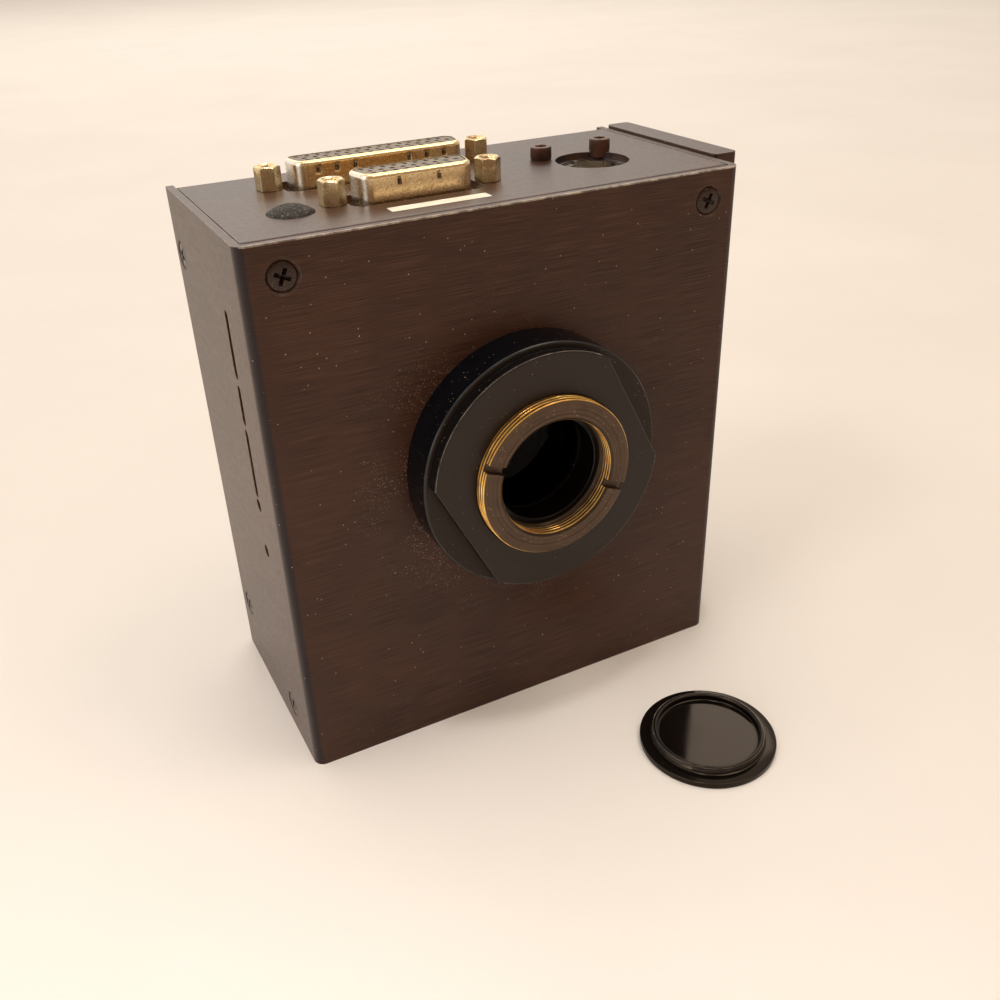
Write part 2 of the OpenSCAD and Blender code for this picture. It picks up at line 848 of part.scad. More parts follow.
// Every contact place of port k: three staggered rows
module at_contacts(k) {
    rows = port_of(k)[3];
    translate([port_xy[k][0], port_xy[k][1], 0])
        for (row = [0 : 2], i = [0 : rows[row] - 1])
            translate([(i - (rows[row] - 1) / 2 + (row == 1 ? 0.5 : 0) - 0.25) * contact_pitch,
                       (1 - row) * row_pitch, 0])
                children();
}

module port_shell(k) {
    port = port_of(k);
    flange_l = port[1];
    base = under - port_flange[1];
    dimple_r = 0.35;
    translate([port_xy[k][0], port_xy[k][1], 0]) difference() {
        union() {
            translate([0, 0, base]) linear_extrude(port_flange[1])
                difference() {
                    round_rect([flange_l, port_flange[0]], 1.5);
                    for (s = [-1, 1]) translate([s * port[2] / 2, 0]) circle(r = clear_r);
                }
            translate([0, 0, base]) linear_extrude(shell_top - base) d_outline(port[0], 0);
        }
        translate([0, 0, base - cut]) linear_extrude(shell_top - base + 2 * cut)
            d_outline(port[0], shell_t);
        for (x = port[4], s = [-1, 1]) translate([x, s * (shell_d / 2 + 0.15), 0])
            rod(shell_top - 2.2, shell_top - 0.9, dimple_r);
    }
}

module port_insert(k) {
    port = port_of(k);
    lip_z = shell_top - 1;
    lip_inset = 0.95;
    difference() {
        union() {
            translate([port_xy[k][0], port_xy[k][1], under - 1]) linear_extrude(lip_z - under + 1)
                d_outline(port[0], shell_t + 0.05);
            translate([port_xy[k][0], port_xy[k][1], lip_z - 0.01])
                linear_extrude(shell_top - 0.1 - lip_z) d_outline(port[0], lip_inset);
            translate([port_xy[k][0], port_xy[k][1], insert_base_z])
                linear_extrude(under - port_flange[1] - insert_base_z)
                    square([port[0] + 1, 9.4], center = true);
        }
        at_contacts(k) rod(insert_base_z - cut, shell_top + cut, contact_hole_r);
    }
}

module port_contacts(k) {
    at_contacts(k) {
        rod(insert_base_z, shell_top - 6, contact_r);
        ring(shell_top - 6, shell_top - 1.2, contact_r, 0.32);
        rod(port_board_z - 1.6, insert_base_z, tail_r);
    }
}

module data_shell() {
    color(gold) port_shell(0);
}

module power_shell() {
    color(gold) port_shell(1);
}

module data_insert() {
    color(chip_black) port_insert(0);
}

module power_insert() {
    color(chip_black) port_insert(1);
}

module data_contacts() {
    color(gold) port_contacts(0);
}

module power_contacts() {
    color(gold) port_contacts(1);
}

// Hexagonal jackscrews, tapped from the top
module jackscrews() {
    corner_r = jack_af / 2 / cos(30);
    color(gold) for (k = [0, 1], s = [0, 1])
        translate([port_xy[k][0] + (s - 0.5) * port_of(k)[2], port_xy[k][1], case_h]) difference() {
            union() {
                intersection() {
                    rotate([0, 0, jack_turn[k][s]]) cylinder(h = jack_rise, r = corner_r, $fn = 6);
                    union() {
                        rod(0, jack_rise - 0.35, corner_r + 0.2);
                        translate([0, 0, jack_rise - 0.35])
                            cylinder(h = 0.35, r1 = corner_r + 0.05, r2 = jack_af / 2 - 0.05);
                    }
                }
                rod(-sheet - port_flange[1] - 2, 0.01, jack_thread_r);
            }
            rod(jack_rise - 4.2, jack_rise + cut, jack_thread_r);
        }
}

// ---------- Round socket, plug and cap ----------

// Slotted metal ring with one sprung tab turned in at its lip
module socket_shell() {
    bore_r = socket_r - socket_wall;
    color(steel) translate([socket_x, socket_y, 0]) {
        difference() {
            ring(socket_bottom, socket_top, socket_r, bore_r);
            for (a = [0, 90, 160])
                rotate([0, 0, a]) block([-9, -0.5, socket_top - 3.4], [9, 0.5, socket_top + cut]);
        }
        rotate([0, 0, socket_tab_angle])
            block([bore_r - 0.7, -socket_tab[0] / 2, socket_top - socket_tab[1]],
                  [bore_r + 0.3, socket_tab[0] / 2, socket_top]);
    }
}

module at_socket_pins() {
    for (a = [0 : 45 : 180]) rotate([0, 0, a]) translate([4, 0, 0]) children();
}

module socket_insert() {
    wall_r = socket_r - socket_wall - run;
    color([0.85, 0.82, 0.74]) translate([socket_x, socket_y, 0]) {
        difference() {
            rod(socket_bottom + 0.5, socket_floor, wall_r);
            at_socket_pins() rod(socket_bottom, socket_floor + cut, socket_pin_r + 0.02);
        }
        rotate([0, 0, socket_key_angle])
            block([wall_r - 0.2 - socket_key[1], -socket_key[0] / 2, socket_floor - 0.01],
                  [wall_r - 0.2, socket_key[0] / 2, socket_top - 0.2]);
    }
}

module socket_pins() {
    color(gold) translate([socket_x, socket_y, 0]) at_socket_pins()
        rod(socket_bottom + 0.5, socket_floor + 3.4, socket_pin_r);
}

module socket_bracket() {
    color(aluminium) difference() {
        block([socket_x - 11.6, socket_y - 10, under - bracket_t],
              [socket_x + 11.6, socket_screw_y + 4.5, under]);
        translate([socket_x, socket_y, 0]) rod(under - bracket_t - cut, under + cut, socket_r + 0.05);
        for (x = socket_screw_x) translate([x, socket_screw_y, 0])
            rod(under - bracket_t - cut, under + cut, small_thread_r + 0.03);
    }
}

module socket_screws() {
    color(screw_black) for (x = socket_screw_x) translate([x, socket_screw_y, case_h])
        socket_screw(cap_screw_r, cap_screw_h, small_thread_r, sheet + bracket_t + 1);
}

// Domed rubber plug with a stem through the top
module port_plug() {
    dome_r = (plug_r * plug_r + plug_rise * plug_rise) / (2 * plug_rise);
    color(chip_black) translate([plug_pos[0], plug_pos[1], 0]) {
        intersection() {
            translate([0, 0, case_h + plug_rise - dome_r]) sphere(r = dome_r);
            rod(case_h, case_h + plug_rise + cut, plug_r + cut);
        }
        rod(under, case_h + 0.01, plug_stem_r);
        rod(under - 1.5, under, plug_barb_r);
    }
}

module dust_cap() {
    edge = 0.25;
    tip = cap_t + cap_boss_h;
    color(gloss_black) translate([cap_x, cap_y, 0]) difference() {
        union() {
            rod(0, cap_t - edge, cap_r);
            translate([0, 0, cap_t - edge]) cylinder(h = edge, r1 = cap_r, r2 = cap_r - edge);
            rod(cap_t - 0.01, tip - edge, cap_boss_r);
            translate([0, 0, tip - edge]) cylinder(h = edge, r1 = cap_boss_r, r2 = cap_boss_r - edge);
        }
        rod(cap_floor, tip + cut, cap_recess_r);
    }
}

case_cover();
chassis();
side_pad();
side_plate();
side_plate_screws();
front_screws();
side_screws();
rear_screws();
clinch_nuts();
mount_flange();
lock_nut();
c_mount_ring();
window_gasket();
optical_window();
window_retainer();
sensor_chamber();
chamber_seal();
chamber_screws();
sensor_package();
sensor_die();
sensor_lid();
sensor_pins();
sensor_board();
cold_finger();
thermistor();
cooler_plates();
cooler_pellets();
hot_block();
heat_spreader();
hot_block_screws();
feedthrough();
feedthrough_pins();
signal_cable();
main_board();
main_board_chips();
power_board();
power_board_parts();
board_standoffs();
board_screws();
board_header();
port_board();
data_shell();
data_insert();
data_contacts();
power_shell();
power_insert();
power_contacts();
jackscrews();
socket_shell();
socket_insert();
socket_pins();
socket_bracket();
socket_screws();
port_plug();
dust_cap();
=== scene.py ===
"""Looks of a cooled astronomy camera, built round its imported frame.

Places are in metres in the row frame: +X right, +Y away from the lens, +Z up, z = 0 under the case.
Pieces are made about their own +Z axis in millimetres, then placed.
"""

import json
import math

import bmesh
import bpy
from mathutils import Matrix, Vector, noise

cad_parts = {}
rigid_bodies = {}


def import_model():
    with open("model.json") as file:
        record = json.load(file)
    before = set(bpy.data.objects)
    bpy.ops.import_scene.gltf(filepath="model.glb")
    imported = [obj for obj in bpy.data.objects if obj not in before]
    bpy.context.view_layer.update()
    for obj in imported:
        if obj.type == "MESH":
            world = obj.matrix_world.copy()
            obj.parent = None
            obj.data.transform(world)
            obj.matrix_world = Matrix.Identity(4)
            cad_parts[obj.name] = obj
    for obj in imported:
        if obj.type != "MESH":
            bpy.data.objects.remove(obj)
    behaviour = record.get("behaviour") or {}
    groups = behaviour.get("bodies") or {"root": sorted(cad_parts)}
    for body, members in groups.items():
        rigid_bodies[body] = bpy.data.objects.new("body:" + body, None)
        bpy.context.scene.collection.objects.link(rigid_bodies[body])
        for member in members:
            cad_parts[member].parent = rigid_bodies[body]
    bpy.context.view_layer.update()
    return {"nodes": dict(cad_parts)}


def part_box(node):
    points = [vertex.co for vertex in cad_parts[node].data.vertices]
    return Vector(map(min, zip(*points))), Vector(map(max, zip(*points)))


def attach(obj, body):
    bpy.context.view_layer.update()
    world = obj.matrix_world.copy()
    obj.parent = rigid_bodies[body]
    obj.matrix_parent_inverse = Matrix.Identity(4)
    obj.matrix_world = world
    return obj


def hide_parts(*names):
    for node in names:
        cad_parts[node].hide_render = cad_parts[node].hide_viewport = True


MM = 0.001
TAU = 2 * math.pi
# A mix node's two inputs and its output, by what it mixes
MIX_SOCKETS = {"FLOAT": (2, 3, 0), "RGBA": (6, 7, 2)}
# Faces that meet at more than this many degrees meet in a hard edge
SHARP = 35

for stray in list(bpy.data.objects):
    bpy.data.objects.remove(stray)
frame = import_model()

# ---------- Places, all read from the frame ----------

case_low, case_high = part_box("case_cover")
FRONT, TOP = case_low.y, case_high.z
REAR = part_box("chassis")[1].y
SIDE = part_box("side_plate")[1].x


def middle(node):
    low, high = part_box(node)
    return (low + high) / 2


LENS = middle("c_mount_ring")
LENS.y = FRONT
ring_low, ring_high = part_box("c_mount_ring")
RING_BACK = (FRONT - ring_high.y) / MM
RING_FRONT = (FRONT - ring_low.y) / MM
RING_R = (ring_high.x - ring_low.x) / 2 / MM
THREAD_R = 12.7
SHEET = 1.7 * MM
CAP = middle("dust_cap")
CAP.z = 0
PLUG = middle("port_plug")
PLUG.z = TOP

# Each port's shell length, flange length and dimple places along it, in millimetres.
# WALL_H is the shell's width across its rows of contacts.
PORTS = {
    "data_shell": (38.4, 53.1, (-14, -10, -6, 6, 10, 14)),
    "power_shell": (24.7, 39.2, (-4.2, 4.2)),
}
WALL_H = 7.9
SHELL_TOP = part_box("data_shell")[1].z
# Height of the painted shade in the dimples of the shells' walls
DIMPLE_SHADE_Z = SHELL_TOP - 2.0 * MM
DIMPLES = [(middle(node).x + place * MM, middle(node).y - WALL_H / 2 * MM)
           for node, (_, _, places) in PORTS.items() for place in places]


# ---------- Procedural materials ----------


class Graph:
    """The node tree of one procedural material, or of the world, built node by node.

    Its point is a place in the row frame, or in a world the direction looked in.
    """

    def __init__(self, name, world=False):
        owners = bpy.data.worlds if world else bpy.data.materials
        self.owner = owners.new(name)
        self.owner.use_nodes = True
        self.tree = self.owner.node_tree
        self.tree.nodes.clear()
        self.output = self.add("ShaderNodeOutputWorld" if world else "ShaderNodeOutputMaterial")
        self.point = self.add("ShaderNodeTexCoord").outputs["Generated" if world else "Object"]

    def add(self, kind, settings=None, **inputs):
        """A new node. Settings are its properties; an input's name has _ for each space."""
        node = self.tree.nodes.new(kind)
        for key, value in (settings or {}).items():
            setattr(node, key, value)
        for key, value in inputs.items():
            self.feed(node.inputs[key.replace("_", " ")], value)
        return node

    def feed(self, socket, value):
        if isinstance(value, bpy.types.NodeSocket):
            self.tree.links.new(value, socket)
        elif socket.type == "RGBA" and len(value) == 3:
            socket.default_value = (*value, 1)
        else:
            socket.default_value = value

    def math(self, operation, first, *others):
        """One operation on a number, or carried along two or more of them."""
        for other in others or (0.0,):
            node = self.add("ShaderNodeMath", {"operation": operation})
            self.feed(node.inputs[0], first)
            self.feed(node.inputs[1], other)
            first = node.outputs[0]
        return first

    def vector(self, operation, a, b=(0, 0, 0)):
        node = self.add("ShaderNodeVectorMath", {"operation": operation})
        self.feed(node.inputs[0], a)
        self.feed(node.inputs[1], b)
        return node.outputs["Value" if operation in ("LENGTH", "DOT_PRODUCT") else "Vector"]

    def parts(self, vector):
        """The three components of a vector."""
        return self.add("ShaderNodeSeparateXYZ", Vector=vector).outputs

    def scaled(self, *parts):
        """A vector of up to three parts, each a pair of a number and its scale, or a constant."""
        made = [self.math("MULTIPLY", *part) if isinstance(part, tuple) else part for part in parts]
        return self.add("ShaderNodeCombineXYZ", **dict(zip("XYZ", made))).outputs[0]

    def noise(self, vector, scale, detail=3.0, roughness=0.55):
        node = self.add("ShaderNodeTexNoise", Vector=vector, Scale=scale, Detail=detail,
                        Roughness=roughness)
        return node.outputs["Fac"]

    def remap(self, value, low, high, to_low=0.0, to_high=1.0):
        """Carries low..high to to_low..to_high, and stops at both ends."""
        node = self.add("ShaderNodeMapRange", Value=value, From_Min=low, From_Max=high,
                        To_Min=to_low, To_Max=to_high)
        return node.outputs["Result"]

    def fall(self, value, low, high):
        """1 up to low, falling to 0 at high."""
        return self.remap(value, low, high, 1.0, 0.0)

    def mix(self, share, a, b, kind="RGBA"):
        """From a to b, which are colours, or numbers if kind is FLOAT."""
        input_a, input_b, mixed = MIX_SOCKETS[kind]
        node = self.add("ShaderNodeMix", {"data_type": kind})
        self.feed(node.inputs[0], share)
        self.feed(node.inputs[input_a], a)
        self.feed(node.inputs[input_b], b)
        return node.outputs[mixed]

    def bump(self, height, depth, normal=None):
        """A normal bent by a height of 0 to 1, which stands for a depth in metres."""
        node = self.add("ShaderNodeBump", Height=height, Distance=depth, Strength=1.0)
        if normal is not None:
            self.feed(node.inputs["Normal"], normal)
        return node.outputs["Normal"]

    def normal(self):
        return self.add("ShaderNodeNewGeometry").outputs["Normal"]

    def edges(self, radius, low, high):
        """1 on sharp edges, falling to 0 a radius away from them."""
        soft = self.add("ShaderNodeBevel", {"samples": 6}, Radius=radius).outputs["Normal"]
        turned = self.math("SUBTRACT", 1.0, self.vector("DOT_PRODUCT", soft, self.normal()))
        return self.remap(turned, low, high)

    def specks(self, scale, size, share, seed=0.0):
        """Small round specks in the cells of a grid; share is how many cells may hold one."""
        moved = self.vector("ADD", self.point, (seed, seed * 0.7, seed * 0.3))
        node = self.add("ShaderNodeTexVoronoi", Vector=moved, Scale=scale)
        draw = self.parts(node.outputs["Color"])
        near = self.fall(node.outputs["Distance"], size * 0.5, size)
        held = self.math("LESS_THAN", draw[0], share)
        kept = self.math("GREATER_THAN", draw[1], 0.3)
        return self.math("MULTIPLY", near, held, kept)

    def reach(self, centre, axis):
        """Distance from a line through centre along a frame axis."""
        offset = self.vector("SUBTRACT", self.point, tuple(centre))
        flat = tuple(0.0 if k == axis else 1.0 for k in range(3))
        return self.vector("LENGTH", self.vector("MULTIPLY", offset, flat))

    def surface(self, colour, roughness, metallic=0.0, normal=None, **more):
        shader = self.add("ShaderNodeBsdfPrincipled", Base_Color=colour, Roughness=roughness,
                          Metallic=metallic, **more)
        if normal is not None:
            self.feed(shader.inputs["Normal"], normal)
        self.feed(self.output.inputs["Surface"], shader.outputs[0])
        return self.owner


DUST = (0.55, 0.45, 0.34)


def black_anodised():
    """Brushed sheet, dyed black and gone a little brown, with dust, pale edges and a rim that are
    partly wear and partly painted highlight, and a painted reflection on its bends.
    """
    g = Graph("black_anodised")
    x, y, z = g.parts(g.point)
    _, facing_y, facing_z = g.parts(g.normal())
    toward_lens = g.math("MULTIPLY", facing_y, -1.0)
    front = g.remap(toward_lens, 0.15, 0.75)
    # Painted bluish-dark reflection on the sheet's round bend between the front and a side
    bend_reflection = g.math("MULTIPLY", g.remap(toward_lens, 0.15, 0.45), g.fall(toward_lens, 0.90, 0.995),
                  g.fall(g.math("ABSOLUTE", facing_z), 0.05, 0.25))
    # Brush lines run level, so what is across them is z on the walls and y on the top
    up = g.math("GREATER_THAN", g.math("ABSOLUTE", facing_z), 0.5)
    across = g.mix(up, z, y, "FLOAT")
    along = g.math("ADD", x, y)
    brushed = g.noise(g.scaled((along, 90.0), (across, 6500.0)), 1.0, 2.0)
    bands = g.noise(g.scaled((along, 28.0), (across, 900.0), 3.0), 1.0, 3.0)
    cloud = g.noise(g.point, 38.0, 4.0, 0.6)
    fine = g.noise(g.point, 900.0, 3.0, 0.7)
    tone = g.mix(g.remap(cloud, 0.38, 0.62), (0.027, 0.0108, 0.0058), (0.055, 0.0200, 0.0105))
    tone = g.mix(g.remap(bands, 0.35, 0.7, 0.0, 0.65), tone, (0.020, 0.0095, 0.0060))
    tone = g.mix(g.remap(brushed, 0.38, 0.75, 0.0, 0.9), tone, (0.094, 0.042, 0.0245))
    tone = g.mix(g.math("MULTIPLY", bend_reflection, 0.75), tone, (0.009, 0.0085, 0.0115))
    # Dust lies thick on the front by the lens port, most of it on the port's lower left
    offset = g.vector("SUBTRACT", g.point, tuple(LENS))
    lower_left = g.vector("DOT_PRODUCT", offset, (-0.75, 0.0, -0.66))
    near_port = g.math("MULTIPLY", g.fall(g.reach(LENS, 1), 27 * MM, 42 * MM),
                       g.remap(lower_left, -20 * MM, 22 * MM, 0.15, 1.0),
                       g.math("LESS_THAN", y, FRONT + SHEET))
    patchy = g.remap(g.noise(g.point, 110.0, 2.0), 0.42, 0.58)
    many = g.math("MULTIPLY", g.specks(2100.0, 0.30, 0.62, 7.7), near_port, patchy)
    few = g.specks(420.0, 0.08, 0.09)
    tiny = g.specks(1200.0, 0.18, 0.05, 3.1)
    dust = g.math("MAXIMUM", few, tiny, many)
    tone = g.mix(g.math("MULTIPLY", dust, 0.75), tone, DUST)
    # Pale edges, and the rim where the front meets the top: partly worn and chipped, partly painted
    # highlight
    chips = g.remap(g.noise(g.point, 330.0, 5.0, 0.7), 0.44, 0.6)
    wear_and_highlight = g.math("MULTIPLY", g.edges(0.35 * MM, 0.03, 0.25), g.remap(chips, 0.0, 1.0, 0.15, 0.9))
    rim = g.math("MULTIPLY", g.math("GREATER_THAN", z, TOP - 0.3 * MM),
                 g.math("LESS_THAN", y, FRONT + 0.45 * MM), g.remap(chips, 0.0, 1.0, 0.22, 0.9))
    wear_and_highlight = g.math("MAXIMUM", wear_and_highlight, rim)
    tone = g.mix(wear_and_highlight, tone, (0.50, 0.41, 0.33))
    rough = g.math("ADD", g.remap(brushed, 0.25, 0.8, 0.30, 0.46),
                   g.remap(fine, 0.3, 0.7, -0.03, 0.05), g.math("MULTIPLY", dust, 0.4))
    normal = g.bump(brushed, 0.008 * MM)
    normal = g.bump(fine, 0.003 * MM, normal)
    normal = g.bump(dust, 0.05 * MM, normal)
    return g.surface(tone, rough, g.math("MULTIPLY", wear_and_highlight, 0.5), normal,
                     Specular_IOR_Level=g.remap(front, 0.0, 1.0, 0.60, 0.22))


def turned_black(name, centre, axis, colour, rough, specks, level, end=None, tint=(1, 1, 1)):
    """Lathe-turned black finish: faint rings round an axis, dust, and fine pale lines on its edges and
    chamfers, partly wear and partly painted highlight.

    level is how strongly it reflects and tint colours that. end is the tone of faces square to the
    axis, where it differs.
    """
    g = Graph(name)
    rings = g.noise(g.scaled((g.reach(centre, axis), 9000.0)), 1.0, 2.0)
    cloud = g.noise(g.point, 120.0, 4.0, 0.6)
    tone = g.mix(g.remap(cloud, 0.3, 0.7), colour, tuple(c * 1.35 for c in colour))
    patchy = g.remap(g.noise(g.point, 150.0, 2.0), 0.40, 0.60, 0.15, 1.0)
    fine, coarse = g.specks(2200.0, 0.22, specks), g.specks(620.0, 0.08, specks * 0.5, 4.2)
    dust = g.math("MULTIPLY", g.math("MAXIMUM", fine, coarse), patchy)
    roughness = g.math("ADD", g.remap(rings, 0.3, 0.7, rough, rough + 0.08),
                       g.math("MULTIPLY", dust, 0.4))
    lean = g.math("ABSOLUTE", g.parts(g.normal())[axis])
    if end is not None:
        square = g.remap(lean, 0.90, 0.98)
        tone = g.mix(square, tone, end)
        roughness = g.math("ADD", roughness, g.math("MULTIPLY", square, 0.24))
    tone = g.mix(g.math("MULTIPLY", dust, 0.8), tone, DUST)
    # Pale on chamfers as painted highlight, and on sharp edges partly as wear and partly as painted
    # highlight
    off_chamfer = g.math("ABSOLUTE", g.math("SUBTRACT", lean, 0.707))
    chamfer = g.remap(off_chamfer, 0.10, 0.30, 0.05, 0.0)
    scuffs = g.remap(g.noise(g.point, 400.0, 3.0), 0.35, 0.6, 0.35, 1.0)
    wear_and_highlight = g.math("MULTIPLY", g.edges(0.14 * MM, 0.03, 0.20), scuffs)
    tone = g.mix(g.math("MAXIMUM", chamfer, wear_and_highlight), tone, (0.46, 0.41, 0.36))
    normal = g.bump(rings, 0.003 * MM)
    normal = g.bump(dust, 0.05 * MM, normal)
    return g.surface(tone, roughness, 0.0, normal, Specular_IOR_Level=level, Specular_Tint=tint)


def bronze_ring():
    """Old dyed ring: a dusty brown face, dark thread grooves, crests painted gold as worn metal and
    glints, and painted shade in the bore.
    """
    g = Graph("bronze_ring")
    reach = g.reach(LENS, 1)
    rings = g.noise(g.scaled((reach, 4200.0)), 1.0, 2.0)
    cloud = g.noise(g.point, 260.0, 4.0, 0.6)
    mottled = g.remap(cloud, 0.3, 0.7)
    dark = g.mix(mottled, (0.020, 0.012, 0.007), (0.038, 0.021, 0.011))
    brown = g.mix(mottled, (0.062, 0.034, 0.018), (0.090, 0.050, 0.027))
    brown = g.mix(g.remap(rings, 0.5, 0.8, 0.0, 0.5), brown, (0.22, 0.15, 0.09))
    gold = g.mix(g.remap(cloud, 0.35, 0.65), (0.80, 0.36, 0.09), (0.92, 0.60, 0.16))
    face = g.remap(g.math("ABSOLUTE", g.parts(g.normal())[1]), 0.93, 0.99)
    # Crests of both threads, painted gold as wear and glints; the inner one only near its mouth,
    # fading deeper in as painted shade
    outside = g.remap(reach, (RING_R - 0.28) * MM, (RING_R - 0.14) * MM)
    inside = g.fall(reach, (THREAD_R + 0.08) * MM, (THREAD_R + 0.20) * MM)
    deep = g.math("SUBTRACT", g.parts(g.point)[1], LENS.y - RING_FRONT * MM)
    mouth = g.remap(deep, 1.9 * MM, 3.4 * MM, 1.0, 0.05)
    crest_glint_and_wear = g.math("MAXIMUM", outside, g.math("MULTIPLY", inside, mouth))
    wear_and_highlight = g.remap(g.noise(g.point, 340.0, 3.0), 0.3, 0.6, 0.45, 1.0)
    crest_glint_and_wear = g.math("MULTIPLY", crest_glint_and_wear, wear_and_highlight)
    # Painted shade: the bore inside the thread goes near black
    bore = g.fall(reach, (THREAD_R - 0.3) * MM, (THREAD_R - 0.05) * MM)
    tone = g.mix(face, g.mix(crest_glint_and_wear, dark, gold), brown)
    tone = g.mix(bore, tone, (0.006, 0.004, 0.003))
    dust = g.math("MAXIMUM", g.specks(1900.0, 0.28, 0.16), g.specks(700.0, 0.10, 0.12, 5.0))
    dust = g.math("MULTIPLY", dust, face)
    tone = g.mix(g.math("MULTIPLY", dust, 0.8), tone, (0.42, 0.32, 0.22))
    bare = g.math("SUBTRACT", 1.0, face)
    metallic = g.math("ADD", g.math("MULTIPLY", bare, g.remap(crest_glint_and_wear, 0.0, 1.0, 0.25, 1.0)),
                      g.remap(face, 0.0, 1.0, 0.0, 0.25))
    rough = g.math("ADD", g.math("MULTIPLY", face, 0.12), g.remap(rings, 0.3, 0.7, 0.24, 0.34))
    normal = g.bump(rings, 0.004 * MM)
    normal = g.bump(dust, 0.04 * MM, normal)
    return g.surface(tone, rough, metallic, normal, Specular_IOR_Level=0.35)


def plated(name, colour, other, end=None, rough=0.2, scratch=0.002, tarnish=0.35,
           stain_scale=1500.0, shaded_dimples=()):
    """Bright plating with scratches of a depth in millimetres, and stains.

    end is the tone of faces that look sideways, a painted highlight; each pit is the (x, y) of a wall
    dimple, given painted shade.
    """
    g = Graph(name)
    x, y, z = g.parts(g.point)
    cloud = g.noise(g.point, 420.0, 4.0, 0.6)
    tone = g.mix(g.remap(cloud, 0.32, 0.68), colour, other)
    # Painted highlight: faces that look sideways go pale
    if end is not None:
        sideways_sheen = g.math("ABSOLUTE", g.parts(g.normal())[0])
        tone = g.mix(g.remap(sideways_sheen, 0.35, 0.85), tone, end)
    scratches = g.noise(g.scaled((x, 260.0), (y, 260.0), (z, 2600.0)), 1.0, 2.0, 0.5)
    stains = g.remap(g.noise(g.point, stain_scale, 3.0, 0.55), 0.50, 0.62)
    stained = (colour[0] * 0.42, colour[1] * 0.28, colour[2] * 0.22)
    tone = g.mix(g.math("MULTIPLY", stains, tarnish), tone, stained)
    roughness = g.math("ADD", g.remap(scratches, 0.3, 0.7, rough, rough + 0.06),
                       g.math("MULTIPLY", stains, 0.2 * tarnish))
    # Painted shade in the lower part of each wall dimple
    for pit_x, pit_y in shaded_dimples:
        beside = g.math("ABSOLUTE", g.math("SUBTRACT", x, pit_x))
        beyond = g.math("ABSOLUTE", g.math("SUBTRACT", y, pit_y))
        above = g.math("ABSOLUTE", g.math("SUBTRACT", z, DIMPLE_SHADE_Z))
        dimple_shade = g.math("MULTIPLY", g.fall(beside, 0.35 * MM, 0.52 * MM),
                     g.fall(above, 0.45 * MM, 0.65 * MM), g.math("LESS_THAN", beyond, 1.2 * MM))
        tone = g.mix(g.math("MULTIPLY", dimple_shade, 0.9), tone, (0.10, 0.055, 0.025))
    return g.surface(tone, roughness, 1.0, g.bump(scratches, scratch * MM))


def grained(name, colour, other, rough, metallic=0.0, scale=700.0, depth=0.02, dust=0.0, **more):
    """A finish with clouded colour and a fine grain, for moulded or sintered parts and rubber.

    scale is the grain's fineness, depth its height in millimetres, and dust how much lies on it.
    """
    g = Graph(name)
    cloud = g.noise(g.point, scale * 0.25, 4.0, 0.6)
    grain = g.noise(g.point, scale * 3.0, 3.0, 0.6)
    tone = g.mix(g.remap(cloud, 0.32, 0.68), colour, other)
    if dust:
        grit = g.specks(scale * 2.5, 0.32, dust)
        tone = g.mix(g.math("MULTIPLY", grit, 0.7), tone, DUST)
    roughness = g.remap(grain, 0.25, 0.75, rough, rough + 0.12)
    return g.surface(tone, roughness, metallic, g.bump(grain, depth * MM), **more)


def board_green():
    """Solder mask over faint copper tracks on a grid."""
    g = Graph("board_green")
    x, y, z = g.parts(g.point)
    grid = g.scaled((x, 400.0), (y, 400.0), (z, 400.0))
    cells = g.add("ShaderNodeTexVoronoi", {"distance": "MANHATTAN"}, Vector=grid, Scale=1.0)
    tracks = g.remap(cells.outputs["Distance"], 0.42, 0.5)
    cloud = g.noise(g.point, 60.0, 2.0)
    tone = g.mix(g.remap(cloud, 0.35, 0.65), (0.012, 0.10, 0.045), (0.02, 0.14, 0.06))
    tone = g.mix(tracks, tone, (0.05, 0.23, 0.09))
    return g.surface(tone, g.remap(cloud, 0.3, 0.7, 0.28, 0.4), 0.0, g.bump(tracks, 0.03 * MM))


def window_glass():
    """Window tinted almost black as painted shade for the bore behind it, with a faint violet tint and
    a little grime.
    """
    g = Graph("window_glass")
    grime = g.remap(g.noise(g.point, 90.0, 2.0), 0.4, 0.7, 0.01, 0.03)
    cloud = g.remap(g.noise(g.point, 40.0, 1.0), 0.4, 0.6)
    # Painted shade: a near-black tint stands in for the dark bore behind the window
    tint = g.mix(cloud, (0.055, 0.040, 0.045), (0.035, 0.035, 0.050))
    return g.surface(tint, grime, Transmission_Weight=1.0, IOR=1.12)


